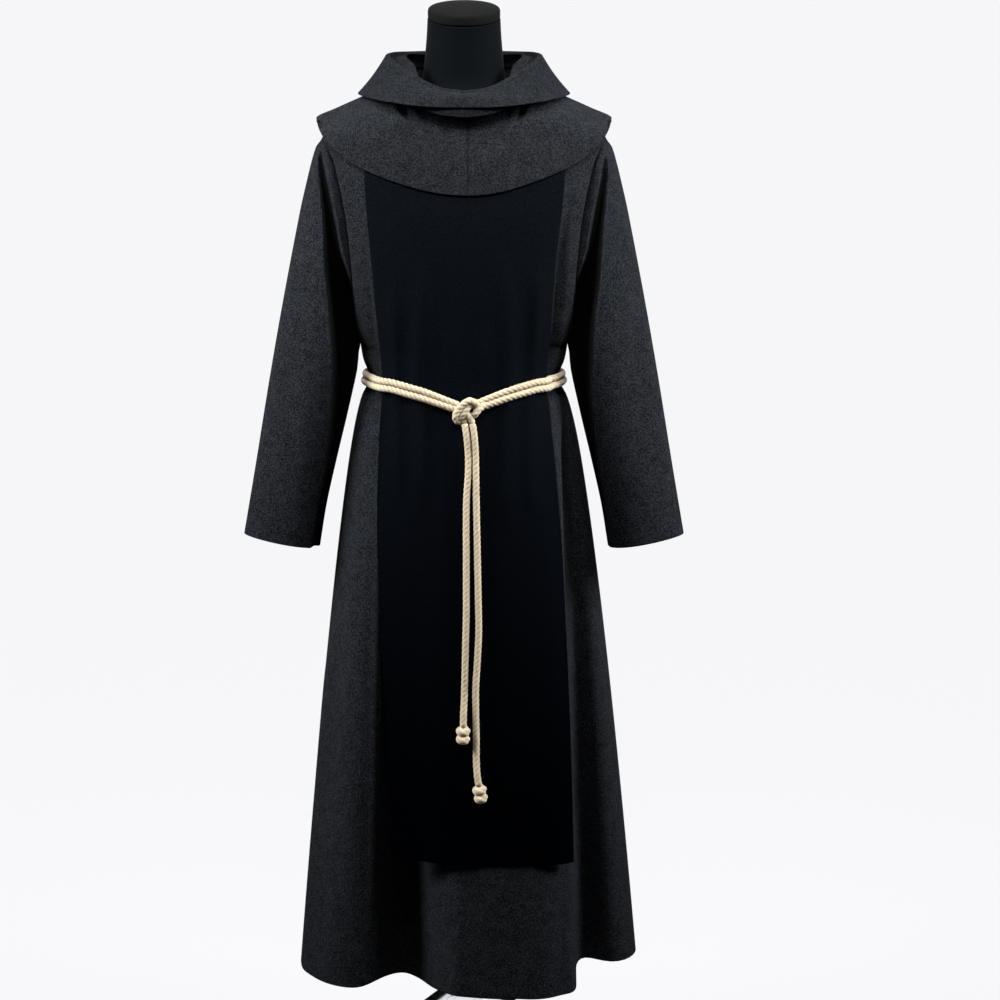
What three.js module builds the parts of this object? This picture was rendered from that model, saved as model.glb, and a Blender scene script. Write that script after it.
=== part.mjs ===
// A monk's habit worn on a limbless dress form: a wool tunic with straight sleeves, a scapular
// front and back, a shoulder cape with its hood lying down, and a doubled rope cincture.
// Millimetres, +Z up, the front faces -Y, and the stand's feet rest on z = 0.

import * as THREE from 'three';

// ---------------------------------------------------------------- driving dimensions

const SEAM = 0.3;
const WOOL = 2.0;
const SERGE = 1.4;
const LAYER = 1.0;

const HEM_Z = 145;
const BELT_SIDE_Z = 1097;
const BELT_FRONT_DIP = 27;
const BELT_DIP_TURN = 0.5;
const UNDERARM_Z = 1150;
const SHOULDER_Z = 1484;
const NECK_HOLE_Z = 1550;
const NECK_FRONT_DIP = 34;
const NECK_BACK_DIP = 8;

const ARMHOLE_MIDDLE_Y = 4;
const ARMHOLE_HALF_DEPTH = 72;
const SHOULDER_SEAM_Y = 4;
const ARMHOLE_STEPS = 7;

const SCAPULAR_FRONT_HEM_Z = 358;
const SCAPULAR_BACK_HEM_Z = 352;

const ROPE_RADIUS = 5.2;
const ROPE_SIDES = 8;

const POLE_RADIUS = 12.5;
const FORM_BOTTOM_Z = 905;
const HUB_RADIUS = 30;
const HUB_BOTTOM_Z = 78;
const HUB_TOP_Z = 124;
const LEG_RADIUS = 11;
const LEG_START = 34.6;
const LEG_START_Z = 102;
const LEG_REACH = 240;
const LEG_END_Z = 19;
const FOOT_RADIUS = 15;
const FOOT_HEIGHT = 8;

// The back leg reaches past the cloth, so the body's axis stands this far from the middle.
const AXIS_Y = -27.7;

// The trunk of the tunic above the belt. side is the half width at the seam or armhole edge,
// front and back are the depths on the centre lines.
const trunkLevels = [
  { z: 1097, side: 153, front: -100, back: 92 },
  { z: 1150, side: 161, front: -104, back: 98 },
  { z: 1240, side: 170, front: -111, back: 107 },
  { z: 1300, side: 175, front: -115, back: 112 },
  { z: 1360, side: 182, front: -115, back: 114 },
  { z: 1435, side: 199, front: -106, back: 108 },
  { z: 1484, side: 216, front: -96, back: 99 },
  { z: 1507, side: 184, front: -90, back: 93 },
  { z: 1524, side: 152, front: -85, back: 88 },
  { z: 1538, side: 120, front: -81, back: 83 },
  { z: 1550, side: 88, front: -77, back: 79 },
];

// The hem of the tunic, one row for each ridge, valley and turn of its folds. turn counts
// quarter turns about the body: -1 left seam, 0 centre front, 1 right seam, 2 centre back.
const hemFolds = [
  { turn: -1.0, x: -262, y: 45 },
  { turn: -0.92, x: -259, y: -25 },
  { turn: -0.82, x: -228, y: -96 },
  { turn: -0.72, x: -186, y: -130 },
  { turn: -0.6, x: -142, y: -127 },
  { turn: -0.53, x: -120, y: -76 },
  { turn: -0.44, x: -89, y: -59 },
  { turn: -0.22, x: -36, y: -131 },
  { turn: -0.02, x: 10, y: -176 },
  { turn: 0.2, x: 56, y: -187 },
  { turn: 0.5, x: 119, y: -187 },
  { turn: 0.68, x: 154, y: -166 },
  { turn: 0.79, x: 177, y: -138 },
  { turn: 0.85, x: 178, y: -58 },
  { turn: 0.89, x: 182, y: 18 },
  { turn: 0.92, x: 198, y: 0 },
  { turn: 0.955, x: 236, y: -18 },
  { turn: 1.0, x: 279, y: 45 },
  { turn: 1.12, x: 268, y: 112 },
  { turn: 1.24, x: 228, y: 158 },
  { turn: 1.36, x: 184, y: 150 },
  { turn: 1.48, x: 144, y: 116 },
  { turn: 1.62, x: 106, y: 160 },
  { turn: 1.78, x: 62, y: 194 },
  { turn: 1.96, x: 12, y: 184 },
  { turn: 2.1, x: -26, y: 150 },
  { turn: 2.26, x: -64, y: 178 },
  { turn: 2.44, x: -112, y: 198 },
  { turn: 2.58, x: -152, y: 176 },
  { turn: 2.7, x: -180, y: 134 },
  { turn: 2.82, x: -216, y: 156 },
  { turn: 2.92, x: -250, y: 112 },
];
const FLARE_POWER = 0.7;
const BELT_HOLD = 0.025;

// The rails of a sleeve, from its head down to the cuff: the outer edge of the arm and the
// inner edge beside the body, with the half depth from front to back.
const sleeveRails = [
  { down: 0, outerX: 216, outerZ: 1484, innerX: 161, innerZ: 1150, depth: 72, middle: 4 },
  { down: 0.06, outerX: 231, outerZ: 1448, innerX: 163.5, innerZ: 1137, depth: 71, middle: 3 },
  { down: 0.13, outerX: 246, outerZ: 1390, innerX: 165, innerZ: 1120, depth: 68, middle: 3 },
  { down: 0.22, outerX: 256, outerZ: 1345, innerX: 168, innerZ: 1100, depth: 65, middle: 2 },
  { down: 0.42, outerX: 283, outerZ: 1207, innerX: 184, innerZ: 1030, depth: 58, middle: 0 },
  { down: 0.6, outerX: 304, outerZ: 1090, innerX: 199, innerZ: 968, depth: 52, middle: -2 },
  { down: 0.8, outerX: 325, outerZ: 965, innerX: 215, innerZ: 897, depth: 46, middle: -3 },
  { down: 1, outerX: 345, outerZ: 850, innerX: 226, innerZ: 830, depth: 42, middle: -4 },
];
const SLEEVE_LEAN = 0.22;

// Folds of a sleeve: at is the angle from its outer edge round the front, in degrees, and
// push is the height of the ridge, or the depth of the trough where it is negative.
const sleeveFolds = [
  { at: 142, wide: 16, from: -0.3, to: 0.5, push: 7 },
  { at: 118, wide: 18, from: -0.2, to: 0.75, push: -9 },
  { at: 86, wide: 22, from: 0.0, to: 1.1, push: 5 },
  { at: 222, wide: 20, from: -0.2, to: 0.6, push: -8 },
  { at: 258, wide: 22, from: 0.1, to: 0.9, push: 5 },
];

// Half widths of the scapular, left and right of the centre line, and how far it hangs out.
const scapularFrontEdges = [
  { z: 352, left: 113, right: 171 },
  { z: 545, left: 119, right: 165.5 },
  { z: 716, left: 129, right: 158 },
  { z: 850, left: 134, right: 151 },
  { z: 960, left: 133, right: 142 },
  { z: 1060, left: 128, right: 132 },
  { z: 1100, left: 125, right: 130 },
  { z: 1130, left: 127, right: 130 },
  { z: 1250, left: 138, right: 138 },
  { z: 1430, left: 151, right: 153 },
  { z: 1550, left: 152, right: 154 },
];
const scapularBackEdges = [
  { z: 352, left: 156, right: 154 },
  { z: 700, left: 148, right: 147 },
  { z: 1000, left: 132, right: 132 },
  { z: 1092, left: 124, right: 124 },
  { z: 1250, left: 138, right: 138 },
  { z: 1430, left: 150, right: 150 },
  { z: 1550, left: 152, right: 152 },
];

// The lower edge of each scapular panel as it hangs, seen from above.
const scapularFrontHang = [
  { x: -116, y: -141 },
  { x: -76, y: -159 },
  { x: -50, y: -183 },
  { x: -30, y: -190 },
  { x: -5, y: -187 },
  { x: 30, y: -181 },
  { x: 76, y: -177 },
  { x: 127, y: -170 },
  { x: 172, y: -142 },
];
const scapularBackHang = [
  { x: -158, y: 176 },
  { x: -104, y: 204 },
  { x: -40, y: 192 },
  { x: 24, y: 198 },
  { x: 84, y: 205 },
  { x: 156, y: 178 },
];

// The cape: the heights on the tunic that its lower edge and neckline lie over, and how far
// each stands off it, from the centre front round to the centre back.
const capeRings = [
  { turn: 0, edgeZ: 1393, edgeLift: 7, neckZ: 1508, neckLift: 9 },
  { turn: 0.12, edgeZ: 1395, edgeLift: 7, neckZ: 1512, neckLift: 9 },
  { turn: 0.25, edgeZ: 1402, edgeLift: 7.4, neckZ: 1523, neckLift: 9 },
  { turn: 0.5, edgeZ: 1422, edgeLift: 8, neckZ: 1534, neckLift: 10 },
  { turn: 0.7, edgeZ: 1441, edgeLift: 9, neckZ: 1539, neckLift: 10 },
  { turn: 0.85, edgeZ: 1463, edgeLift: 12, neckZ: 1541, neckLift: 10 },
  { turn: 0.94, edgeZ: 1481, edgeLift: 16, neckZ: 1542, neckLift: 10 },
  { turn: 1.02, edgeZ: 1484, edgeLift: 18, neckZ: 1542, neckLift: 10 },
  { turn: 1.12, edgeZ: 1472, edgeLift: 15, neckZ: 1541, neckLift: 10 },
  { turn: 1.25, edgeZ: 1450, edgeLift: 11, neckZ: 1540, neckLift: 10 },
  { turn: 1.45, edgeZ: 1424, edgeLift: 9, neckZ: 1539, neckLift: 10 },
  { turn: 1.7, edgeZ: 1398, edgeLift: 9, neckZ: 1538, neckLift: 9 },
  { turn: 2, edgeZ: 1384, edgeLift: 9, neckZ: 1538, neckLift: 9 },
];
const CAPE_CROWN = 3.2;
const CAPE_SHOULDER_FLAT = 3.5;

// The turned-back edge of the hood: the bend along its top and the free lower edge.
const hoodRings = [
  { turn: 0, topX: 0, topY: -100, topZ: 1552, edgeX: 0, edgeY: -131, edgeZ: 1530 },
  { turn: 0.25, topX: 37, topY: -96, topZ: 1557, edgeX: 56, edgeY: -127, edgeZ: 1531 },
  { turn: 0.5, topX: 73, topY: -76, topZ: 1572, edgeX: 116, edgeY: -98, edgeZ: 1536 },
  { turn: 0.75, topX: 102, topY: -40, topZ: 1588, edgeX: 151, edgeY: -50, edgeZ: 1539 },
  { turn: 1, topX: 116, topY: 4, topZ: 1597, edgeX: 163, edgeY: 6, edgeZ: 1539 },
  { turn: 1.25, topX: 108, topY: 58, topZ: 1597, edgeX: 152, edgeY: 74, edgeZ: 1535 },
  { turn: 1.5, topX: 82, topY: 96, topZ: 1595, edgeX: 116, edgeY: 128, edgeZ: 1530 },
  { turn: 1.75, topX: 44, topY: 116, topZ: 1594, edgeX: 62, edgeY: 153, edgeZ: 1526 },
  { turn: 2, topX: 0, topY: 122, topZ: 1593, edgeX: 0, edgeY: 161, edgeZ: 1524 },
];
const HOOD_BEND_RADIUS = 6;
const HOOD_FRONT_CROWN = 9;
const HOOD_SIDE_CROWN = -2;
const HOOD_INNER_LEG = 26;

// The hood's pouch down the back: the outer wall, the fold at its foot and the wall that lies
// on the cape, as a profile on the centre back.
const pouchProfile = [
  { along: 0, y: 118, z: 1564 },
  { along: 0.1, y: 138, z: 1536 },
  { along: 0.22, y: 154, z: 1490 },
  { along: 0.34, y: 162, z: 1430 },
  { along: 0.45, y: 161, z: 1372 },
  { along: 0.52, y: 154, z: 1340 },
  { along: 0.56, y: 146, z: 1332 },
  { along: 0.6, y: 140, z: 1342 },
  { along: 0.7, y: 139, z: 1390 },
  { along: 0.82, y: 134, z: 1450 },
  { along: 0.92, y: 121, z: 1505 },
  { along: 1, y: 104, z: 1540 },
];

// The tails of the cincture, from the knot down, as they hang over the scapular.
const leftTailRoute = [
  { x: 1, z: 1044.5 }, { x: 4, z: 1026 }, { x: 6.5, z: 997 }, { x: 6.5, z: 966 },
  { x: 4, z: 930 }, { x: 3.4, z: 890 }, { x: 3.6, z: 845 }, { x: 3.6, z: 800 },
  { x: 3.6, z: 755 }, { x: 2.6, z: 710 }, { x: 1.6, z: 665 }, { x: 0.6, z: 625 },
  { x: -0.6, z: 600 }, { x: -1.2, z: 578 },
];
const rightTailRoute = [
  { x: 13, z: 1044.5 }, { x: 15.6, z: 1026 }, { x: 17.6, z: 997 }, { x: 18.2, z: 966 },
  { x: 18.8, z: 925 }, { x: 19.8, z: 880 }, { x: 20.8, z: 830 }, { x: 21.8, z: 780 },
  { x: 22.6, z: 725 }, { x: 20.6, z: 680 }, { x: 18, z: 635 }, { x: 18.2, z: 595 },
  { x: 19, z: 556 }, { x: 19, z: 525 }, { x: 20.4, z: 503 }, { x: 23, z: 486 },
];
const KNOT_SIZE = { x: 23, y: 15, z: 20 };
const KNOT_CENTRE = { x: 5, z: 1066 };
const END_KNOT_BULBS = [
  { along: 0, radius: 5.6 },
  { along: 4, radius: 10 },
  { along: 9, radius: 12 },
  { along: 14, radius: 10.4 },
  { along: 17, radius: 8.6 },
  { along: 21, radius: 10.2 },
  { along: 26, radius: 9 },
  { along: 31, radius: 4 },
];

// The dress form: half width and depths of the padded torso, then the neck.
const formLevels = [
  { z: 905, side: 112, front: -44, back: 48 },
  { z: 916, side: 124, front: -54, back: 58 },
  { z: 960, side: 132, front: -62, back: 68 },
  { z: 1030, side: 136, front: -74, back: 76 },
  { z: 1092, side: 138, front: -84, back: 78 },
  { z: 1180, side: 146, front: -94, back: 88 },
  { z: 1290, side: 158, front: -104, back: 100 },
  { z: 1370, side: 166, front: -102, back: 102 },
  { z: 1440, side: 172, front: -93, back: 96 },
  { z: 1478, side: 170, front: -86, back: 90 },
];
const formNeck = [
  { z: 1556, radius: 66, tilt: 0 },
  { z: 1570, radius: 62.5, tilt: 0 },
  { z: 1600, radius: 59.5, tilt: 0 },
  { z: 1630, radius: 57, tilt: 0.6 },
  { z: 1652, radius: 56, tilt: 1 },
];
const NECK_TILT = 0.167;
const CAP_HEIGHT = 19;
const CAP_RIM = 4;
const FORM_CLEARANCE = 1.5;

// ---------------------------------------------------------------- finishes

const woolCloth = new THREE.MeshStandardMaterial({ color: 0x3c3e42, roughness: 0.95, metalness: 0 });
const capeCloth = new THREE.MeshStandardMaterial({ color: 0x45474b, roughness: 0.95, metalness: 0 });
const sergeCloth = new THREE.MeshStandardMaterial({ color: 0x15191d, roughness: 0.85, metalness: 0 });
const cottonRope = new THREE.MeshStandardMaterial({ color: 0xe2d2b2, roughness: 0.8, metalness: 0 });
const formJersey = new THREE.MeshStandardMaterial({ color: 0x14181c, roughness: 0.7, metalness: 0 });
const capPlastic = new THREE.MeshStandardMaterial({ color: 0x2d2e28, roughness: 0.45, metalness: 0 });
const chromeTube = new THREE.MeshStandardMaterial({ color: 0xd8dadd, roughness: 0.15, metalness: 1 });
const rubberFoot = new THREE.MeshStandardMaterial({ color: 0x17181a, roughness: 0.8, metalness: 0 });

const habit = new THREE.Group();

function addPiece(name, geometry, material) {
  const piece = new THREE.Mesh(geometry, material.clone());
  piece.name = name;
  habit.add(piece);
}

// ---------------------------------------------------------------- curves and walls

const clamp = (value, low, high) => Math.min(high, Math.max(low, value));
const lerp = (a, b, t) => a + (b - a) * t;

function smoothStep(low, high, value) {
  const t = clamp((value - low) / (high - low), 0, 1);
  return t * t * (3 - 2 * t);
}

// A smooth curve through one column of a table, along another. A closed curve has a period.
function column(table, along, name, value, period = 0) {
  const rows = table.map((row) => [row[along], row[name]]);
  if (period > 0) {
    const last = rows[rows.length - 1];
    const nearLast = rows[rows.length - 2];
    rows.push([rows[0][0] + period, rows[0][1]], [rows[1][0] + period, rows[1][1]]);
    rows.unshift([nearLast[0] - period, nearLast[1]], [last[0] - period, last[1]]);
  }
  let i = 0;
  while (i < rows.length - 2 && value > rows[i + 1][0]) i += 1;
  const slope = (a, b) => (rows[b][1] - rows[a][1]) / (rows[b][0] - rows[a][0]);
  const here = slope(i, i + 1);
  const before = i > 0 ? slope(i - 1, i + 1) : here;
  const after = i < rows.length - 2 ? slope(i, i + 2) : here;
  const wide = rows[i + 1][0] - rows[i][0];
  const t = clamp((value - rows[i][0]) / wide, 0, 1);
  const rise = rows[i][1] * (2 * t * t * t - 3 * t * t + 1) + rows[i + 1][1] * (3 * t * t - 2 * t * t * t);
  return rise + wide * (before * (t * t * t - 2 * t * t + t) + after * (t * t * t - t * t));
}

// Unit normals of a grid of points, pointing to the left of its rows as they run.
function gridNormals(grid, closed) {
  const rows = grid.length;
  return grid.map((row, j) => row.map((point, i) => {
    const wide = row.length;
    const previous = closed ? row[(i + wide - 1) % wide] : row[Math.max(i - 1, 0)];
    const next = closed ? row[(i + 1) % wide] : row[Math.min(i + 1, wide - 1)];
    const across = next.clone().sub(previous);
    const up = grid[Math.min(j + 1, rows - 1)][i].clone().sub(grid[Math.max(j - 1, 0)][i]);
    return across.cross(up).normalize();
  }));
}

function movedOut(grid, normals, distance) {
  return grid.map((row, j) => row.map((point, i) => point.clone().addScaledVector(normals[j][i], distance)));
}

function signedVolume(points, triangles) {
  let sum = 0;
  for (const [a, b, c] of triangles) {
    sum += points[a].dot(points[b].clone().cross(points[c]));
  }
  return sum / 6;
}

function solidGeometry(points, triangles) {
  const flip = signedVolume(points, triangles) < 0;
  const order = triangles.flatMap(([a, b, c]) => (flip ? [a, c, b] : [a, b, c]));
  const geometry = new THREE.BufferGeometry();
  const flat = points.flatMap((point) => [point.x, point.y, point.z]);
  geometry.setAttribute('position', new THREE.Float32BufferAttribute(flat, 3));
  geometry.setIndex(order);
  geometry.computeVertexNormals();
  return geometry;
}

// A closed wall between two grids of the same shape. A closed grid runs round in a loop.
function wallGeometry(outer, inner, closed) {
  const rows = outer.length;
  const wide = outer[0].length;
  const points = [...outer.flat(), ...inner.flat()];
  const at = (layer, j, i) => layer * rows * wide + j * wide + (i % wide);
  const triangles = [];
  const quad = (a, b, c, d) => triangles.push([a, b, c], [a, c, d]);
  const spans = closed ? wide : wide - 1;
  for (let j = 0; j < rows - 1; j += 1) {
    for (let i = 0; i < spans; i += 1) {
      quad(at(0, j, i), at(0, j, i + 1), at(0, j + 1, i + 1), at(0, j + 1, i));
      quad(at(1, j, i), at(1, j + 1, i), at(1, j + 1, i + 1), at(1, j, i + 1));
    }
    if (!closed) {
      quad(at(0, j, 0), at(0, j + 1, 0), at(1, j + 1, 0), at(1, j, 0));
      quad(at(0, j, wide - 1), at(1, j, wide - 1), at(1, j + 1, wide - 1), at(0, j + 1, wide - 1));
    }
  }
  for (let i = 0; i < spans; i += 1) {
    quad(at(0, 0, i), at(1, 0, i), at(1, 0, i + 1), at(0, 0, i + 1));
    quad(at(0, rows - 1, i), at(0, rows - 1, i + 1), at(1, rows - 1, i + 1), at(1, rows - 1, i));
  }
  return solidGeometry(points, triangles);
}

// A solid through closed rings, with a flat cap at each end.
function ringSolid(rings) {
  const wide = rings[0].length;
  const points = rings.flat();
  const triangles = [];
  for (let j = 0; j < rings.length - 1; j += 1) {
    for (let i = 0; i < wide; i += 1) {
      const a = j * wide + i;
      const b = j * wide + ((i + 1) % wide);
      triangles.push([a, b, b + wide], [a, b + wide, a + wide]);
    }
  }
  const top = (rings.length - 1) * wide;
  for (let i = 1; i < wide - 1; i += 1) {
    triangles.push([0, i + 1, i], [top, top + i, top + i + 1]);
  }
  return solidGeometry(points, triangles);
}

function spread(count, from, to) {
  return Array.from({ length: count + 1 }, (_, i) => lerp(from, to, i / count));
}

// Moves the first and last columns of a grid towards their neighbours by half a seam.
function trimSides(grid) {
  for (const row of grid) {
    const last = row.length - 1;
    const first = row[1].clone().sub(row[0]).setLength(SEAM / 2);
    const end = row[last - 1].clone().sub(row[last]).setLength(SEAM / 2);
    row[0].add(first);
    row[last].add(end);
  }
}

// ---------------------------------------------------------------- tunic body

const armholeAngles = spread(ARMHOLE_STEPS, 0, Math.PI);
const armholeZ = (angle) => lerp(UNDERARM_Z, SHOULDER_Z, (1 - Math.cos(angle)) / 2);

// The back panel starts this much past the side seam, so that it counts as the back.
const SEAM_TURN = 1e-6;

// Quarter turns about the body, brought to between -1 and 3.
const wrapTurn = (turn) => ((turn + 1) % 4 + 4) % 4 - 1;

// The belt line: level all round, and drawn down in a shallow V to the knot in front.
function beltZ(turn) {
  const away = Math.hypot(wrapTurn(turn), 0.05) / BELT_DIP_TURN;
  return BELT_SIDE_Z - BELT_FRONT_DIP * Math.max(0, 1 - away) ** 1.2;
}

// How far the edge of a front or back panel stands off the side line at the armhole.
function armholeReach(z) {
  const middle = (UNDERARM_Z + SHOULDER_Z) / 2;
  const half = (SHOULDER_Z - UNDERARM_Z) / 2;
  const across = clamp((z - middle) / half, -1, 1);
  return Math.sqrt(1 - across * across);
}

function trunkPoint(turn, z) {
  const level = clamp(z, BELT_SIDE_Z, NECK_HOLE_Z);
  const onFront = Math.cos(turn * Math.PI / 2) >= 0;
  const angle = turn * Math.PI / 2;
  const across = Math.sin(angle);
  const reach = armholeReach(z);
  const edge = ARMHOLE_MIDDLE_Y + (onFront ? -1 : 1) * ARMHOLE_HALF_DEPTH * reach;
  const deep = column(trunkLevels, 'z', onFront ? 'front' : 'back', level);
  const side = column(trunkLevels, 'z', 'side', level);
  const crown = (1 - Math.abs(across) ** 2.5) ** (0.5 + 0.35 * reach);
  return new THREE.Vector3(side * across, edge + (deep - edge) * crown, z);
}

function hemPoint(turn) {
  const along = wrapTurn(turn);
  return new THREE.Vector3(
    column(hemFolds, 'turn', 'x', along, 4),
    column(hemFolds, 'turn', 'y', along, 4),
    HEM_Z,
  );
}

function flare(turn, z) {
  const drop = clamp((beltZ(turn) - z) / (beltZ(turn) - HEM_Z), 0, 1);
  return drop ** FLARE_POWER * (1 - Math.exp(-drop / BELT_HOLD));
}

function tunicPoint(turn, z) {
  if (z >= beltZ(turn)) return trunkPoint(turn, z);
  const spot = trunkPoint(turn, beltZ(turn)).lerp(hemPoint(turn), flare(turn, z));
  spot.z = z;
  return spot;
}

const skirtRises = [0, 0.28, 0.56, 0.8, 0.92, 1];
const shoulderRises = [0.35, 0.7, 1];

function neckHoleZ(turn) {
  const facing = Math.cos(turn * Math.PI / 2);
  return NECK_HOLE_Z - NECK_FRONT_DIP * Math.max(0, facing) ** 2 - NECK_BACK_DIP * Math.max(0, -facing) ** 2;
}

function tunicHeights(turn) {
  const skirt = skirtRises.map((rise) => lerp(HEM_Z, beltZ(turn), rise));
  const shoulder = shoulderRises.map((rise) => lerp(SHOULDER_Z, neckHoleZ(turn), rise));
  return [...skirt, ...armholeAngles.map(armholeZ), ...shoulder];
}

function panelTurns(from, to) {
  const inside = hemFolds.map((fold) => fold.turn).filter((turn) => turn > from && turn < to);
  const stations = [from, ...inside, to];
  const turns = [from];
  for (let i = 0; i < stations.length - 1; i += 1) {
    const tight = stations[i + 1] - stations[i] < 0.05;
    const parts = tight ? 1 : 2;
    for (let k = 1; k <= parts; k += 1) turns.push(lerp(stations[i], stations[i + 1], k / parts));
  }
  return turns;
}

// The normal of the tunic at a place, taken within one panel beside an armhole.
function tunicNormal(turn, z, from, to) {
  const h = 0.01;
  const open = z > UNDERARM_Z + 1 && z < SHOULDER_Z - 1;
  const low = open ? Math.max(turn - h, from) : turn - h;
  const high = open ? Math.min(turn + h, to) : turn + h;
  const across = tunicPoint(high, z).sub(tunicPoint(low, z));
  const up = tunicPoint(turn, Math.min(z + 2, NECK_HOLE_Z)).sub(tunicPoint(turn, z - 2));
  return across.cross(up).normalize();
}

function tunicPanel(from, to) {
  const turns = panelTurns(from, to);
  const rows = tunicHeights(0).length;
  const grid = [];
  const normals = [];
  for (let j = 0; j < rows; j += 1) {
    const heights = turns.map((turn) => tunicHeights(turn)[j]);
    grid.push(turns.map((turn, i) => tunicPoint(turn, heights[i])));
    normals.push(turns.map((turn, i) => tunicNormal(turn, heights[i], from, to)));
  }
  const inner = movedOut(grid, normals, -WOOL);
  trimSides(grid);
  trimSides(inner);
  return wallGeometry(grid, inner, false);
}

addPiece('tunic_front', tunicPanel(-1, 1), woolCloth);
addPiece('tunic_back', tunicPanel(1 + SEAM_TURN, 3 - SEAM_TURN), woolCloth);

// ---------------------------------------------------------------- sleeves

function sleeveFoldPush(angle, down) {
  const degrees = angle * 180 / Math.PI;
  let push = 0;
  for (const fold of sleeveFolds) {
    const across = (degrees - fold.at) / fold.wide;
    const begun = smoothStep(fold.from, fold.from + 0.3, down);
    const along = begun * (1 - smoothStep(fold.to - 0.3, fold.to, down));
    push += fold.push * along * Math.exp(-across * across);
  }
  return push * smoothStep(0, 0.08, down);
}

// A point of a sleeve: angle 0 is its outer edge, 90 degrees its front, 180 its inner edge.
function sleevePoint(side, angle, down) {
  const rail = (name) => column(sleeveRails, 'down', name, down);
  const toOuter = (1 + Math.cos(angle)) / 2;
  const x = lerp(rail('innerX'), rail('outerX'), toOuter);
  const z = lerp(rail('innerZ'), rail('outerZ'), toOuter);
  const seam = column(trunkLevels, 'z', 'side', clamp(z, UNDERARM_Z, SHOULDER_Z)) + SEAM;
  const atHead = 1 - smoothStep(0, 0.05, down);
  const lean = 1 - SLEEVE_LEAN * Math.cos(angle) * smoothStep(0, 0.25, down);
  const deep = (rail('depth') + sleeveFoldPush(angle, down)) * lean;
  const y = rail('middle') - deep * Math.sin(angle);
  const spreadX = sleeveFoldPush(angle, down) * Math.cos(angle) * 0.5;
  return new THREE.Vector3(side * lerp(x + spreadX, seam, atHead), y, z);
}

const sleeveDowns = [0, 0.06, 0.14, 0.24, 0.36, 0.5, 0.66, 0.83, 1];

function sleeveSolid(side) {
  const angles = [];
  for (let i = 0; i < 2 * ARMHOLE_STEPS; i += 1) angles.push(Math.PI + i * Math.PI / ARMHOLE_STEPS);
  const order = side < 0 ? angles : [...angles].reverse();
  const grid = sleeveDowns.map((down) => order.map((angle) => sleevePoint(side, angle, down)));
  const normals = gridNormals(grid, true);
  grid[0].forEach((point, i) => {
    normals[0][i].x = 0;
    normals[0][i].normalize();
  });
  const middle = grid[4].reduce((sum, point) => sum.add(point), new THREE.Vector3());
  middle.divideScalar(grid[4].length);
  const outwards = grid[4][0].clone().sub(middle).dot(normals[4][0]) > 0 ? 1 : -1;
  const inner = movedOut(grid, normals, -WOOL * outwards);
  return wallGeometry(grid, inner, true);
}

addPiece('sleeve_left', sleeveSolid(-1), woolCloth);
addPiece('sleeve_right', sleeveSolid(1), woolCloth);

// ---------------------------------------------------------------- scapular

const SCAPULAR_SHARES = spread(12, -1, 1);
const SCAPULAR_DOWNS = [1, 0.76, 0.5, 0.28, 0.1, 0];
const SCAPULAR_GAP = LAYER + SERGE;
const SCAPULAR_SHOULDER_RISES = [0.12, 0.24, 0.35, 0.42, 0.49, 0.56, 0.63, 0.7, 0.84, 1];
const SHOULDER_LIFT = 3.3;
const RING_SAMPLES = 120;
const BRIDGE = 24;

// How far the tunic reaches forwards or backwards at a place across, taken over a strip, so
// that a scapular panel bridges the narrow valleys of the skirt.
function tunicReach(facing, x, z, strip) {
  let reach = 0;
  for (let i = 0; i <= RING_SAMPLES; i += 1) {
    const turn = (facing < 0 ? 0 : 2) + lerp(-1, 1, i / RING_SAMPLES);
    const point = tunicPoint(turn, z);
    if (Math.abs(point.x - x) < strip) reach = Math.max(reach, facing * point.y);
  }
  return reach;
}

const scapularFront = {
  facing: -1, middleTurn: 0, edges: scapularFrontEdges, hang: scapularFrontHang, hemZ: SCAPULAR_FRONT_HEM_Z,
};
const scapularBack = {
  facing: 1, middleTurn: 2, edges: scapularBackEdges, hang: scapularBackHang, hemZ: SCAPULAR_BACK_HEM_Z,
};

// The edge of a panel on the side that a share of its width points to.
function scapularEdge(panel, share, z) {
  const toRight = share * -panel.facing > 0;
  return (toRight ? 1 : -1) * column(panel.edges, 'z', toRight ? 'right' : 'left', z);
}

function scapularTurn(panel, share, z) {
  const side = column(trunkLevels, 'z', 'side', clamp(z, BELT_SIDE_Z, NECK_HOLE_Z));
  const limit = Math.asin(Math.min(1, Math.abs(scapularEdge(panel, share, z)) / side)) / (Math.PI / 2);
  return panel.middleTurn + share * limit * (1 - SEAM_TURN);
}

// The outer face of a panel where it hangs free below the belt.
function scapularHangPoint(panel, share, down) {
  const turn = scapularTurn(panel, share, beltZ(panel.middleTurn));
  const belt = tunicPoint(turn, beltZ(turn));
  const z = lerp(beltZ(turn), panel.hemZ, down);
  const toSide = share === 0 ? 1 : share;
  const x = belt.x / scapularEdge(panel, toSide, beltZ(panel.middleTurn)) * scapularEdge(panel, toSide, z);
  const drape = flare(panel.middleTurn, z) / flare(panel.middleTurn, panel.hemZ);
  const free = panel.facing * lerp(belt.y, column(panel.hang, 'x', 'y', x), drape);
  const held = tunicReach(panel.facing, x, z, 4 + BRIDGE * drape);
  return new THREE.Vector3(x, panel.facing * (Math.max(free, held) + SCAPULAR_GAP), z);
}

// Where a share of the width lies at a level of the chest, or at a rise over the shoulder.
function scapularUpperPlace(panel, share, level) {
  let z = level.z;
  for (let pass = 0; pass < 3; pass += 1) {
    z = lerp(level.z, neckHoleZ(scapularTurn(panel, share, z)), level.rise);
  }
  return { turn: scapularTurn(panel, share, z), z };
}

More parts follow.
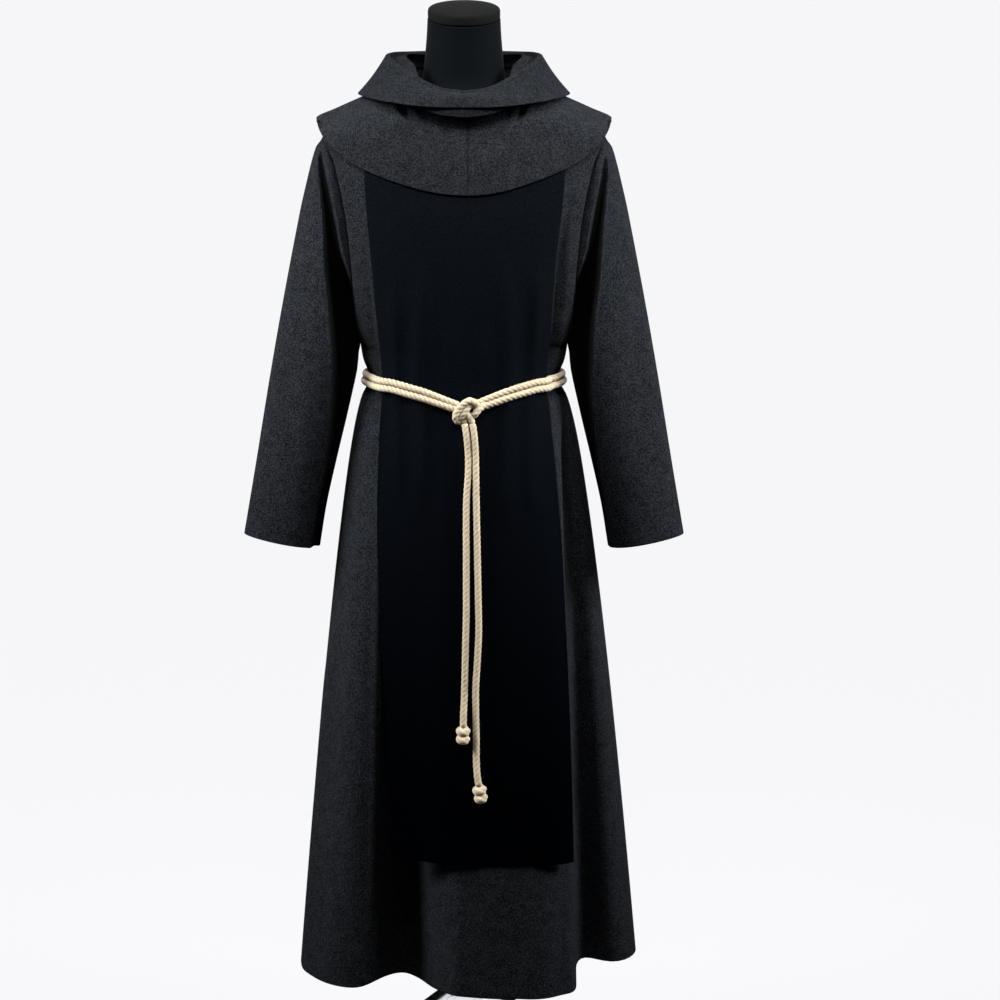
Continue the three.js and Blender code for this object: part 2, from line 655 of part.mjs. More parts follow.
function scapularSolid(panel) {
  const hangRow = (down) => SCAPULAR_SHARES.map((share) => scapularHangPoint(panel, share, down));
  const low = SCAPULAR_DOWNS.map(hangRow);
  const beltRow = low.length - 1;
  const normals = gridNormals(low, false);
  low[beltRow] = SCAPULAR_SHARES.map((share, i) => {
    const turn = scapularTurn(panel, share, beltZ(panel.middleTurn));
    normals[beltRow][i] = tunicNormal(turn, beltZ(turn), panel.middleTurn - 1, panel.middleTurn + 1);
    return tunicPoint(turn, beltZ(turn)).addScaledVector(normals[beltRow][i], SCAPULAR_GAP);
  });
  const grid = [...low];
  const chest = armholeAngles.map((angle) => ({ z: armholeZ(angle), rise: 0 }));
  const shoulder = SCAPULAR_SHOULDER_RISES.map((rise) => ({ z: SHOULDER_Z, rise }));
  for (const level of [...chest, ...shoulder]) {
    const places = SCAPULAR_SHARES.map((share) => scapularUpperPlace(panel, share, level));
    const row = places.map(({ turn, z }) => tunicNormal(turn, z, panel.middleTurn - 1, panel.middleTurn + 1));
    const lift = SCAPULAR_GAP + SHOULDER_LIFT * smoothStep(0, 0.3, level.rise);
    grid.push(places.map(({ turn, z }, i) => tunicPoint(turn, z).addScaledVector(row[i], lift)));
    normals.push(row);
  }
  const inner = movedOut(grid, normals, -SERGE);
  trimSides(grid);
  trimSides(inner);
  return wallGeometry(grid, inner, false);
}

addPiece('scapular_front', scapularSolid(scapularFront), sergeCloth);
addPiece('scapular_back', scapularSolid(scapularBack), sergeCloth);

// ---------------------------------------------------------------- cape

const CAPE_TURNS = [0, 0.14, 0.28, 0.42, 0.56, 0.7, 0.82, 0.92, 1.03, 1.14, 1.28, 1.45, 1.62, 1.8, 2];
const CAPE_RISES = [0, 0.3, 0.6, 0.82, 1];

// A place on the right half of the cape: rise is 0 at its lower edge and 1 at its neckline.
function capePoint(turn, rise) {
  const from = (name) => column(capeRings, 'turn', name, turn);
  const z = lerp(from('edgeZ'), from('neckZ'), rise);
  const flat = CAPE_SHOULDER_FLAT * Math.exp(-(((turn - 1) / 0.3) ** 2));
  const crown = (CAPE_CROWN - flat) * Math.sin(Math.PI * rise);
  const lift = lerp(from('edgeLift'), from('neckLift'), rise) + crown;
  const sideways = Math.sin(turn * Math.PI / 2);
  const lifted = new THREE.Vector3(0.6 * sideways, -Math.cos(turn * Math.PI / 2), 0.3 + 0.55 * sideways);
  return tunicPoint(turn, z).addScaledVector(lifted.normalize(), lift);
}

function mirrored(grid) {
  return grid.map((row) => row.map((point) => new THREE.Vector3(-point.x, point.y, point.z)));
}

const capeGrid = CAPE_RISES.map((rise) => CAPE_TURNS.map((turn) => capePoint(turn, rise)));
const capeNormals = gridNormals(capeGrid, false);
for (const row of capeNormals) {
  for (const normal of [row[0], row[row.length - 1]]) {
    normal.x = 0;
    normal.normalize();
  }
}
const capeLining = movedOut(capeGrid, capeNormals, -WOOL);
trimSides(capeGrid);
trimSides(capeLining);
addPiece('cape_left', wallGeometry(mirrored(capeGrid), mirrored(capeLining), false), capeCloth);
addPiece('cape_right', wallGeometry(capeGrid, capeLining, false), capeCloth);

// ---------------------------------------------------------------- hood

const HOOD_COLUMNS = 28;
const HOOD_SIDE_TURN = 1.38;
const POUCH_COLUMNS = 12;
const POUCH_ALONGS = pouchProfile.map((row) => row.along);
const POUCH_NARROWING = 0.08;
const POUCH_ROUNDNESS = 2.8;
const POUCH_STRIP = 10;
const POUCH_CLEARANCE = 2.6;

// A table for the right side, read all round: turns past the centre back are mirrored.
function ringValue(table, name, turn) {
  const around = ((turn % 4) + 4) % 4;
  const onRight = around <= 2;
  const value = column(table, 'turn', name, onRight ? around : 4 - around);
  return name.endsWith('X') && !onRight ? -value : value;
}

function ringPlace(table, part, turn) {
  return new THREE.Vector3(
    ringValue(table, `${part}X`, turn),
    ringValue(table, `${part}Y`, turn),
    ringValue(table, `${part}Z`, turn),
  );
}

function hoodOutwards(turn) {
  const outwards = ringPlace(hoodRings, 'edge', turn).sub(ringPlace(hoodRings, 'top', turn));
  outwards.z = 0;
  return outwards.normalize();
}

// The foot of the inner leg of the hood's turned edge, where the standing part begins.
function hoodInnerFoot(turn) {
  const foot = ringPlace(hoodRings, 'top', turn).addScaledVector(hoodOutwards(turn), -HOOD_BEND_RADIUS);
  foot.z -= HOOD_INNER_LEG;
  return foot;
}

// The section of the turned edge: up the inner leg, over the bend and down to the free edge.
function turnedEdgeSection(turn) {
  const top = ringPlace(hoodRings, 'top', turn);
  const edge = ringPlace(hoodRings, 'edge', turn);
  const outwards = hoodOutwards(turn);
  const middle = top.clone().setZ(top.z - HOOD_BEND_RADIUS);
  const onBend = (degrees) => {
    const angle = degrees * Math.PI / 180;
    const place = middle.clone().addScaledVector(outwards, HOOD_BEND_RADIUS * Math.cos(angle));
    return place.setZ(place.z + HOOD_BEND_RADIUS * Math.sin(angle));
  };
  const legTop = onBend(20);
  const fall = edge.clone().sub(legTop);
  const bulge = outwards.clone().multiplyScalar(-fall.z).setZ(Math.hypot(fall.x, fall.y)).normalize();
  const crown = lerp(HOOD_FRONT_CROWN, HOOD_SIDE_CROWN, Math.abs(Math.sin(turn * Math.PI / 2)));
  const onLeg = (share) => legTop.clone().addScaledVector(fall, share)
    .addScaledVector(bulge, crown * Math.sin(Math.PI * share));
  return [hoodInnerFoot(turn), onBend(175), onBend(100), legTop, onLeg(0.3), onLeg(0.65), edge];
}

const hoodTurns = spread(HOOD_COLUMNS, 0, 4).slice(0, HOOD_COLUMNS);
const turnedSections = hoodTurns.map(turnedEdgeSection);
const turnedGrid = turnedSections[0].map((_, j) => turnedSections.map((section) => section[j]));
const turnedNormals = gridNormals(turnedGrid, true);
const turnedLining = movedOut(turnedGrid, turnedNormals, WOOL);
addPiece('hood_turned_edge', wallGeometry(turnedGrid, turnedLining, true), capeCloth);

function necklinePlace(turn) {
  const around = ((turn % 4) + 4) % 4;
  const place = capePoint(around <= 2 ? around : 4 - around, 1);
  if (around > 2) place.x = -place.x;
  place.z += WOOL;
  return place;
}

// The top of the standing part and of the pouch, just under the foot of the inner leg.
function standTop(turn) {
  const top = hoodInnerFoot(turn).addScaledVector(hoodOutwards(turn), WOOL);
  top.z -= SEAM + 0.3;
  return top;
}

const besideNeck = spread(HOOD_COLUMNS, -2, 2).filter((turn) => Math.abs(turn) < HOOD_SIDE_TURN - 0.05);
const standTurns = [0.01 - HOOD_SIDE_TURN, ...besideNeck, HOOD_SIDE_TURN - 0.01];
const standRow = (rise) => standTurns.map((turn) => necklinePlace(turn).lerp(standTop(turn), rise));
const standGrid = [0, 0.5, 1].map(standRow);
const standLining = movedOut(standGrid, gridNormals(standGrid, false), -WOOL);
trimSides(standGrid);
trimSides(standLining);
addPiece('hood_neck', wallGeometry(standGrid, standLining, false), capeCloth);

const capeSpots = spread(40, 0, 1).flatMap((rise) => spread(60, 1, 2).map((turn) => capePoint(turn, rise)));

// How far back the cape, or the scapular below it, reaches at a place across.
function backReach(x, z) {
  const level = Math.min(z, SHOULDER_Z + 40);
  let reach = tunicReach(1, x, level, POUCH_STRIP) + SCAPULAR_GAP;
  for (const spot of capeSpots) {
    const beside = Math.abs(spot.x - Math.abs(x)) < POUCH_STRIP && spot.z > z - POUCH_STRIP / 2;
    if (beside) reach = Math.max(reach, spot.y);
  }
  return reach + POUCH_CLEARANCE;
}

// The pouch: straight beside the neck at its sides, and deepest on the centre back.
function pouchPoint(turn, along) {
  const top = standTop(turn);
  const straight = top.clone().lerp(necklinePlace(turn), along);
  const away = Math.abs(turn - 2) / (2 - HOOD_SIDE_TURN);
  const deep = 1 - away ** POUCH_ROUNDNESS;
  const narrow = 1 - POUCH_NARROWING * Math.sin(Math.PI * along);
  const full = new THREE.Vector3(
    straight.x * narrow,
    column(pouchProfile, 'along', 'y', along) - 26 * away ** 2,
    column(pouchProfile, 'along', 'z', along),
  );
  const place = straight.lerp(full, deep);
  const held = smoothStep(0.02, 0.12, along) * smoothStep(0, 0.1, deep);
  place.y = Math.max(place.y, lerp(place.y, backReach(place.x, place.z), held));
  return place;
}

// The columns of the pouch lie closer together towards its sides, where it turns down.
const pouchTurns = spread(POUCH_COLUMNS, 0, Math.PI)
  .map((angle) => 2 - (2 - HOOD_SIDE_TURN) * Math.cos(angle));
const pouchGrid = POUCH_ALONGS.map((along) => pouchTurns.map((turn) => pouchPoint(turn, along)));
const pouchLining = movedOut(pouchGrid, gridNormals(pouchGrid, false), WOOL);
trimSides(pouchGrid);
trimSides(pouchLining);
addPiece('hood_pouch', wallGeometry(pouchGrid, pouchLining, false), capeCloth);

// ---------------------------------------------------------------- cincture

const KNOT_GAP = 0.6;
const KNOT_LIFT = 6;
const BELOW_BELT_LIFT = 3;

function ropeTube(points, steps) {
  const section = new THREE.Shape();
  for (let i = 0; i <= ROPE_SIDES; i += 1) {
    const angle = i * 2 * Math.PI / ROPE_SIDES;
    const spot = [ROPE_RADIUS * Math.cos(angle), ROPE_RADIUS * Math.sin(angle)];
    if (i === 0) section.moveTo(...spot);
    else if (i < ROPE_SIDES) section.lineTo(...spot);
  }
  section.closePath();
  const extrudePath = new THREE.CatmullRomCurve3(points, false, 'centripetal');
  return new THREE.ExtrudeGeometry(section, { steps, bevelEnabled: false, extrudePath });
}

// The axis of a rope lying round the waist, over the scapular front and back and the tunic.
function waistRopePoint(turn, above) {
  const z = beltZ(turn) + above;
  const facing = wrapTurn(turn) <= 1 ? scapularFront : scapularBack;
  const share = wrapTurn(turn) - facing.middleTurn;
  const edgeTurn = scapularTurn(facing, Math.sign(share) || 1, beltZ(facing.middleTurn));
  const limit = Math.abs(edgeTurn - facing.middleTurn);
  const cover = SCAPULAR_GAP * (1 - smoothStep(limit, limit + 0.12, Math.abs(share)));
  const normal = tunicNormal(turn, beltZ(turn), turn - 1, turn + 1);
  const lift = cover + ROPE_RADIUS + SEAM + (above > 0 ? 0.6 : BELOW_BELT_LIFT);
  const place = tunicPoint(turn, z).addScaledVector(normal, lift);
  place.z = z;
  return place;
}

const knotY = scapularHangPoint(scapularFront, 0, 0).y - KNOT_SIZE.y - KNOT_LIFT;

// The first turn, in steps one way from the centre front, at which the rope is past the knot.
function turnPastKnot(above, step) {
  let turn = 0;
  while (Math.abs(waistRopePoint(turn, above).x - KNOT_CENTRE.x) < KNOT_SIZE.x + KNOT_GAP) turn += step;
  return turn;
}

function addWaistRope(name, above) {
  const route = spread(60, turnPastKnot(above, 0.001), 4 + turnPastKnot(above, -0.001));
  addPiece(name, ropeTube(route.map((turn) => waistRopePoint(turn, above)), 60), cottonRope);
}

addWaistRope('cincture_upper', ROPE_RADIUS + 0.2);
addWaistRope('cincture_lower', -ROPE_RADIUS - 0.2);

const knotCorner = 6;
const knotProfile = [
  new THREE.Vector2(0, -KNOT_SIZE.y),
  new THREE.Vector2(KNOT_SIZE.z - knotCorner, -KNOT_SIZE.y),
  new THREE.Vector2(KNOT_SIZE.z - 1, -KNOT_SIZE.y + knotCorner),
  new THREE.Vector2(KNOT_SIZE.z, 0),
  new THREE.Vector2(KNOT_SIZE.z - 1, KNOT_SIZE.y - knotCorner),
  new THREE.Vector2(KNOT_SIZE.z - knotCorner, KNOT_SIZE.y),
  new THREE.Vector2(0, KNOT_SIZE.y),
];
const knotShape = new THREE.LatheGeometry(knotProfile, 20);
knotShape.scale(KNOT_SIZE.x / KNOT_SIZE.z, 1, 1);
knotShape.translate(KNOT_CENTRE.x, knotY, KNOT_CENTRE.z);
addPiece('cincture_knot', knotShape, cottonRope);

// The axis of a tail: it leaves the knot and settles on the scapular, and its end knot
// holds the last of it off the cloth.
function tailPoint(spot, route) {
  const panel = scapularFront;
  const startZ = route[0].z;
  const endZ = route[route.length - 1].z;
  const down = clamp((beltZ(0) - spot.z) / (beltZ(0) - panel.hemZ), 0, 1);
  const share = spot.x / column(panel.edges, 'z', 'right', spot.z);
  const cloth = scapularHangPoint(panel, share, down).y;
  const lift = ROPE_RADIUS + 1.0
    + 7 * (1 - smoothStep(0, 60, startZ - spot.z))
    + 7.2 * (1 - smoothStep(0, 60, spot.z - endZ));
  return new THREE.Vector3(spot.x, cloth - lift, spot.z);
}

const endKnotProfile = [
  new THREE.Vector2(0, 0),
  ...END_KNOT_BULBS.map((bulb) => new THREE.Vector2(bulb.radius, -bulb.along)),
  new THREE.Vector2(0, -END_KNOT_BULBS[END_KNOT_BULBS.length - 1].along),
].reverse();

const END_KNOT_GAP = 0.5;

function addTail(side, route) {
  const points = route.map((spot) => tailPoint(spot, route));
  addPiece(`tail_${side}`, ropeTube(points, 3 * points.length), cottonRope);
  const knot = new THREE.LatheGeometry(endKnotProfile, 12);
  knot.rotateX(Math.PI / 2);
  const end = points[points.length - 1];
  const hang = end.clone().sub(points[points.length - 2]).normalize();
  knot.applyQuaternion(new THREE.Quaternion().setFromUnitVectors(new THREE.Vector3(0, 0, -1), hang));
  end.addScaledVector(hang, END_KNOT_GAP);
  knot.translate(end.x, end.y, end.z);
  addPiece(`end_knot_${side}`, knot, cottonRope);
}

addTail('left', leftTailRoute);
addTail('right', rightTailRoute);

// ---------------------------------------------------------------- dress form

const FORM_SIDES = 28;

function formRing(z, side, front, back, tilt) {
  return Array.from({ length: FORM_SIDES }, (_, i) => {
    const angle = i * 2 * Math.PI / FORM_SIDES;
    const facing = Math.cos(angle);
    const across = Math.sin(angle);
    const crown = (1 - Math.abs(across) ** 2.5) ** 0.5;
    const y = crown * (facing > 0 ? front : back);
    return new THREE.Vector3(side * across, y, z + tilt * NECK_TILT * y);
  });
}

function formNeckRing(level) {
  return Array.from({ length: FORM_SIDES }, (_, i) => {
    const angle = i * 2 * Math.PI / FORM_SIDES;
    const y = -level.radius * Math.cos(angle);
    return new THREE.Vector3(level.radius * Math.sin(angle), y, level.z + level.tilt * NECK_TILT * y);
  });
}

// The padded shoulders, just inside the tunic that rests on them.
const formShoulders = [0.35, 0.7, 1].map((rise) => Array.from({ length: FORM_SIDES }, (_, i) => {
  const turn = i * 4 / FORM_SIDES;
  const z = lerp(SHOULDER_Z, NECK_HOLE_Z - 2, rise);
  const normal = tunicNormal(turn, z, turn - 1, turn + 1);
  return tunicPoint(turn, z).addScaledVector(normal, -WOOL - FORM_CLEARANCE);
}));
addPiece('form_torso', ringSolid([
  ...formLevels.map((level) => formRing(level.z, level.side, level.front, level.back, 0)),
  ...formShoulders,
  ...formNeck.map(formNeckRing),
]), formJersey);

const capProfile = [new THREE.Vector2(0, 0), new THREE.Vector2(55, 0), new THREE.Vector2(55.5, CAP_RIM)];
for (let degrees = 15; degrees <= 90; degrees += 15) {
  const angle = degrees * Math.PI / 180;
  const rise = CAP_RIM + (CAP_HEIGHT - CAP_RIM) * Math.sin(angle);
  capProfile.push(new THREE.Vector2(degrees === 90 ? 0 : 55 * Math.cos(angle) ** 0.6, rise));
}
const neckCap = new THREE.LatheGeometry(capProfile, 36);
neckCap.rotateX(Math.PI / 2 + Math.atan(NECK_TILT));
neckCap.translate(0, 0, formNeck[formNeck.length - 1].z + SEAM + 0.2);
addPiece('neck_cap', neckCap, capPlastic);

// ---------------------------------------------------------------- stand

function uprightCylinder(radius, lowZ, highZ, sides) {
  const geometry = new THREE.CylinderGeometry(radius, radius, highZ - lowZ, sides);
  geometry.rotateX(Math.PI / 2);
  geometry.translate(0, 0, (lowZ + highZ) / 2);
  return geometry;
}

addPiece('stand_pole', uprightCylinder(POLE_RADIUS, HUB_TOP_Z + SEAM, FORM_BOTTOM_Z - SEAM, 24), chromeTube);
addPiece('stand_hub', uprightCylinder(HUB_RADIUS, HUB_BOTTOM_Z, HUB_TOP_Z, 32), chromeTube);

const legs = [
  { name: 'front_left', degrees: 218 },
  { name: 'front_right', degrees: 338 },
  { name: 'back', degrees: 98 },
];
for (const leg of legs) {
  const heading = leg.degrees * Math.PI / 180;
  const out = new THREE.Vector3(Math.cos(heading), Math.sin(heading), 0);
  const start = out.clone().multiplyScalar(LEG_START).setZ(LEG_START_Z);
  const end = out.clone().multiplyScalar(LEG_REACH).setZ(LEG_END_Z);
  const along = end.clone().sub(start);
  const tube = new THREE.CylinderGeometry(LEG_RADIUS, LEG_RADIUS, along.length(), 20);
  const upright = new THREE.Vector3(0, 1, 0);
  tube.applyQuaternion(new THREE.Quaternion().setFromUnitVectors(upright, along.clone().normalize()));
  const middle = start.lerp(end, 0.5);
  tube.translate(middle.x, middle.y, middle.z);
  addPiece(`leg_${leg.name}`, tube, chromeTube);
  const foot = uprightCylinder(FOOT_RADIUS, 0, FOOT_HEIGHT, 24);
  foot.translate(out.x * LEG_REACH, out.y * LEG_REACH, 0);
  addPiece(`foot_${leg.name}`, foot, rubberFoot);
}

habit.position.y = AXIS_Y;

export default habit;
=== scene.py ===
# A monk's habit worn on a limbless dress form: a wool tunic with straight sleeves, a scapular front
# and back, a shoulder cape with its hood lying down, and a doubled rope cincture. Metres, +Z up,
# and the habit faces -Y.

import math

import bpy
import numpy as np
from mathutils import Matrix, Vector


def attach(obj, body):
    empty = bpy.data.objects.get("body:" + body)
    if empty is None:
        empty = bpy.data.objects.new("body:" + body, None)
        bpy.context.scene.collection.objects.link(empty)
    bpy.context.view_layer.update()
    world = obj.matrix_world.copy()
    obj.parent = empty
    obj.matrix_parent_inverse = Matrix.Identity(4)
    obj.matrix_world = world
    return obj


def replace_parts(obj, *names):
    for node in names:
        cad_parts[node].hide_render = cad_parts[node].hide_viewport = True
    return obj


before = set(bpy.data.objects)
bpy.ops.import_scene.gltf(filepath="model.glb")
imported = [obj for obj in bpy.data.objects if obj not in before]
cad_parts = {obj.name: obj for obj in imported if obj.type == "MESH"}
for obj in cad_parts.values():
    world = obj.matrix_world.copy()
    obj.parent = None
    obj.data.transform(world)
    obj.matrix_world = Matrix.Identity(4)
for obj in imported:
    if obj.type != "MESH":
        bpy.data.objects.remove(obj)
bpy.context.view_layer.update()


# ---------------------------------------------------------------- camera
# A long lens six metres in front of the habit, a little above head height, looking down on it.
# The body's axis stands a little in front of the middle of the whole, because of the back leg.

AXIS_Y = -0.0277
CAMERA_DISTANCE = 6.0
CAMERA_HEIGHT = 2.1
CAMERA_PITCH = 11.3

camera_data = bpy.data.cameras.new("camera")
camera_data.lens = 140.4
camera_data.sensor_width = 36
camera_data.shift_x = 0.036
camera = bpy.data.objects.new("camera", camera_data)
camera.location = (0, AXIS_Y - CAMERA_DISTANCE, CAMERA_HEIGHT)
camera.rotation_euler = (math.radians(90 - CAMERA_PITCH), 0, 0)
bpy.context.scene.collection.objects.link(camera)
bpy.context.scene.camera = camera


# ---------------------------------------------------------------- tunic, front and back
# Two panels of heavy heather wool, cut flared from the belt down and seamed at the shoulders and
# sides. Each is a thin shell over the body and its folds, with its creases pushed out or in.

SEAM = 0.0003
WOOL = 0.002
HEM_Z = 0.145
BELT_SIDE_Z = 1.097
BELT_FRONT_DIP = 0.027
BELT_DIP_TURN = 0.5
BELT_DIP_POINT = 0.05
BELT_DIP_POWER = 1.2
UNDERARM_Z = 1.150
SHOULDER_Z = 1.484
NECK_HOLE_Z = 1.550
NECK_FRONT_DIP = 0.034
NECK_BACK_DIP = 0.008
ARMHOLE_MIDDLE_Y = 0.004
ARMHOLE_HALF_DEPTH = 0.072
TRUNK_SQUARENESS = 2.5
TRUNK_CROWN_POWER = 0.5
ARMHOLE_CROWN_POWER = 0.35
FLARE_POWER = 0.7
BELT_HOLD = 0.025
BELT_PINCH = 0.0075
BELT_PINCH_REACH = 0.018
HEM_ROUNDING = (-0.026, -0.013, 0, 0.013, 0.026)
HEM_DRAWN_UP = 0.008
HEM_DRAWN_UP_AT = -0.585
HEM_DRAWN_UP_WIDE = 0.06
CREASE_FADE = 0.12
FOLDED_EDGE_ANGLES = (0.45, 0.95, 1.35)
SHARP_EDGE = math.radians(50)
SEAM_TURN = 1e-6
QUARTER = math.pi / 2

# The trunk above the belt: half width at the seam or armhole edge, and depths on the centre lines.
trunk_levels = [
    {"z": 1.097, "side": 0.153, "front": -0.100, "back": 0.092},
    {"z": 1.150, "side": 0.161, "front": -0.104, "back": 0.098},
    {"z": 1.240, "side": 0.170, "front": -0.111, "back": 0.107},
    {"z": 1.300, "side": 0.175, "front": -0.115, "back": 0.112},
    {"z": 1.360, "side": 0.182, "front": -0.115, "back": 0.114},
    {"z": 1.435, "side": 0.199, "front": -0.106, "back": 0.108},
    {"z": 1.484, "side": 0.216, "front": -0.096, "back": 0.099},
    {"z": 1.507, "side": 0.184, "front": -0.090, "back": 0.093},
    {"z": 1.524, "side": 0.152, "front": -0.085, "back": 0.088},
    {"z": 1.538, "side": 0.120, "front": -0.081, "back": 0.083},
    {"z": 1.550, "side": 0.088, "front": -0.077, "back": 0.079},
]

# The hem, one row for each ridge, valley and turn of its folds. turn counts quarter turns about
# the body: -1 left seam, 0 centre front, 1 right seam, 2 centre back.
hem_folds = [
    {"turn": -1.0, "x": -0.262, "y": 0.045},
    {"turn": -0.92, "x": -0.259, "y": -0.025},
    {"turn": -0.82, "x": -0.228, "y": -0.096},
    {"turn": -0.72, "x": -0.186, "y": -0.130},
    {"turn": -0.6, "x": -0.142, "y": -0.127},
    {"turn": -0.565, "x": -0.133, "y": -0.110},
    {"turn": -0.53, "x": -0.120, "y": -0.076},
    {"turn": -0.48, "x": -0.099, "y": -0.054},
    {"turn": -0.36, "x": -0.072, "y": -0.083},
    {"turn": -0.24, "x": -0.048, "y": -0.133},
    {"turn": -0.14, "x": -0.022, "y": -0.163},
    {"turn": -0.02, "x": 0.010, "y": -0.179},
    {"turn": 0.2, "x": 0.056, "y": -0.187},
    {"turn": 0.5, "x": 0.119, "y": -0.187},
    {"turn": 0.68, "x": 0.154, "y": -0.166},
    {"turn": 0.79, "x": 0.177, "y": -0.138},
    {"turn": 0.85, "x": 0.178, "y": -0.058},
    {"turn": 0.89, "x": 0.184, "y": 0.030},
    {"turn": 0.92, "x": 0.205, "y": 0.020},
    {"turn": 0.955, "x": 0.239, "y": -0.008},
    {"turn": 0.98, "x": 0.264, "y": 0.004},
    {"turn": 1.0, "x": 0.279, "y": 0.045},
    {"turn": 1.12, "x": 0.268, "y": 0.112},
    {"turn": 1.24, "x": 0.228, "y": 0.158},
    {"turn": 1.36, "x": 0.184, "y": 0.150},
    {"turn": 1.48, "x": 0.144, "y": 0.116},
    {"turn": 1.62, "x": 0.106, "y": 0.160},
    {"turn": 1.78, "x": 0.062, "y": 0.194},
    {"turn": 1.96, "x": 0.012, "y": 0.184},
    {"turn": 2.1, "x": -0.026, "y": 0.150},
    {"turn": 2.26, "x": -0.064, "y": 0.178},
    {"turn": 2.44, "x": -0.112, "y": 0.198},
    {"turn": 2.58, "x": -0.152, "y": 0.176},
    {"turn": 2.7, "x": -0.180, "y": 0.134},
    {"turn": 2.82, "x": -0.216, "y": 0.156},
    {"turn": 2.92, "x": -0.250, "y": 0.112},
]

# Creases of the tunic, pressed and hanging: where each lies, between which heights, how wide it is
# and how far it stands out, or in where push is negative. lean moves it as it rises.
tunic_creases = [
    {"at": -0.60, "lean": 0.0, "foot": 0.30, "top": 0.90, "wide": 0.03, "push": 0.005},
    {"at": -0.51, "lean": 0.0, "foot": 0.30, "top": 0.92, "wide": 0.05, "push": -0.010},
    {"at": -0.90, "lean": -0.02, "foot": 0.20, "top": 0.60, "wide": 0.03, "push": 0.004},
    {"at": -0.83, "lean": 0.0, "foot": 0.34, "top": 0.86, "wide": 0.05, "push": -0.003},
    {"at": 0.835, "lean": 0.0, "foot": 0.42, "top": 0.92, "wide": 0.035, "push": -0.013},
    {"at": 0.665, "lean": -0.05, "foot": 1.15, "top": 1.28, "wide": 0.05, "push": -0.012},
    {"at": -0.64, "lean": -0.05, "foot": 1.12, "top": 1.26, "wide": 0.05, "push": -0.003},
    {"at": -0.1, "lean": 0.1, "foot": 0.16, "top": 0.30, "wide": 0.05, "push": 0.003},
    {"at": 0.33, "lean": -0.06, "foot": 0.16, "top": 0.30, "wide": 0.07, "push": -0.003},
    {"at": 1.30, "lean": 0.02, "foot": 0.24, "top": 0.92, "wide": 0.06, "push": 0.010},
    {"at": 1.46, "lean": 0.0, "foot": 0.30, "top": 0.88, "wide": 0.06, "push": -0.009},
    {"at": 2.60, "lean": 0.0, "foot": 0.22, "top": 0.90, "wide": 0.06, "push": 0.009},
    {"at": 2.72, "lean": 0.01, "foot": 0.30, "top": 0.84, "wide": 0.05, "push": -0.010},
    {"at": 1.42, "lean": 0.0, "foot": 1.16, "top": 1.30, "wide": 0.05, "push": -0.004},
    {"at": 2.62, "lean": 0.0, "foot": 1.14, "top": 1.28, "wide": 0.05, "push": -0.004},
]


def lerp(a, b, t):
    return a + (b - a) * t


def smooth_step(low, high, value):
    t = np.clip((value - low) / (high - low), 0, 1)
    return t * t * (3 - 2 * t)


def column(table, along, name, value, period=0.0):
    """A smooth curve through one column of a table, along another. A closed curve has a period."""
    x = np.array([row[along] for row in table], float)
    y = np.array([row[name] for row in table], float)
    if period:
        x = np.concatenate([x[-2:] - period, x, x[:2] + period])
        y = np.concatenate([y[-2:], y, y[:2]])
    value = np.asarray(value, float)
    i = np.clip(np.searchsorted(x, value, side="left") - 1, 0, len(x) - 2)
    span = np.diff(y) / np.diff(x)
    slope = np.concatenate([span[:1], (y[2:] - y[:-2]) / (x[2:] - x[:-2]), span[-1:]])
    wide = x[i + 1] - x[i]
    t = np.clip((value - x[i]) / wide, 0, 1)
    rise = y[i] * (2 * t**3 - 3 * t**2 + 1) + y[i + 1] * (3 * t**2 - 2 * t**3)
    return rise + wide * (slope[i] * (t**3 - 2 * t**2 + t) + slope[i + 1] * (t**3 - t**2))


def point(x, y, z):
    return np.stack(np.broadcast_arrays(x, y, z), axis=-1)


def unit(vectors):
    return vectors / np.maximum(np.linalg.norm(vectors, axis=-1, keepdims=True), 1e-12)


def wrap_turn(turn):
    return (turn + 1) % 4 - 1


def belt_z(turn):
    """The belt line: level all round, and drawn down in a shallow V to the knot in front."""
    away = np.hypot(wrap_turn(turn), BELT_DIP_POINT) / BELT_DIP_TURN
    return BELT_SIDE_Z - BELT_FRONT_DIP * np.maximum(0, 1 - away) ** BELT_DIP_POWER


def armhole_reach(z):
    middle = (UNDERARM_Z + SHOULDER_Z) / 2
    half = (SHOULDER_Z - UNDERARM_Z) / 2
    return np.sqrt(1 - np.clip((z - middle) / half, -1, 1) ** 2)


def trunk_point(turn, z):
    level = np.clip(z, BELT_SIDE_Z, NECK_HOLE_Z)
    on_front = np.cos(turn * QUARTER) >= 0
    across = np.sin(turn * QUARTER)
    reach = armhole_reach(z)
    edge = ARMHOLE_MIDDLE_Y + np.where(on_front, -1, 1) * ARMHOLE_HALF_DEPTH * reach
    front, back = (column(trunk_levels, "z", name, level) for name in ("front", "back"))
    deep = np.where(on_front, front, back)
    power = TRUNK_CROWN_POWER + ARMHOLE_CROWN_POWER * reach
    crown = np.maximum(0, 1 - np.abs(across) ** TRUNK_SQUARENESS) ** power
    return point(column(trunk_levels, "z", "side", level) * across, edge + (deep - edge) * crown, z)


def hem_point(turn):
    """A point of the hem, taken as the mean of a few close together, which rounds the folds."""
    beside = [wrap_turn(turn + step) for step in HEM_ROUNDING]
    x, y = (sum(column(hem_folds, "turn", name, spot, 4) for spot in beside) for name in ("x", "y"))
    return point(x / len(beside), y / len(beside), HEM_Z)


def flare(turn, z):
    drop = np.clip((belt_z(turn) - z) / (belt_z(turn) - HEM_Z), 0, 1)
    return drop**FLARE_POWER * (1 - np.exp(-drop / BELT_HOLD))


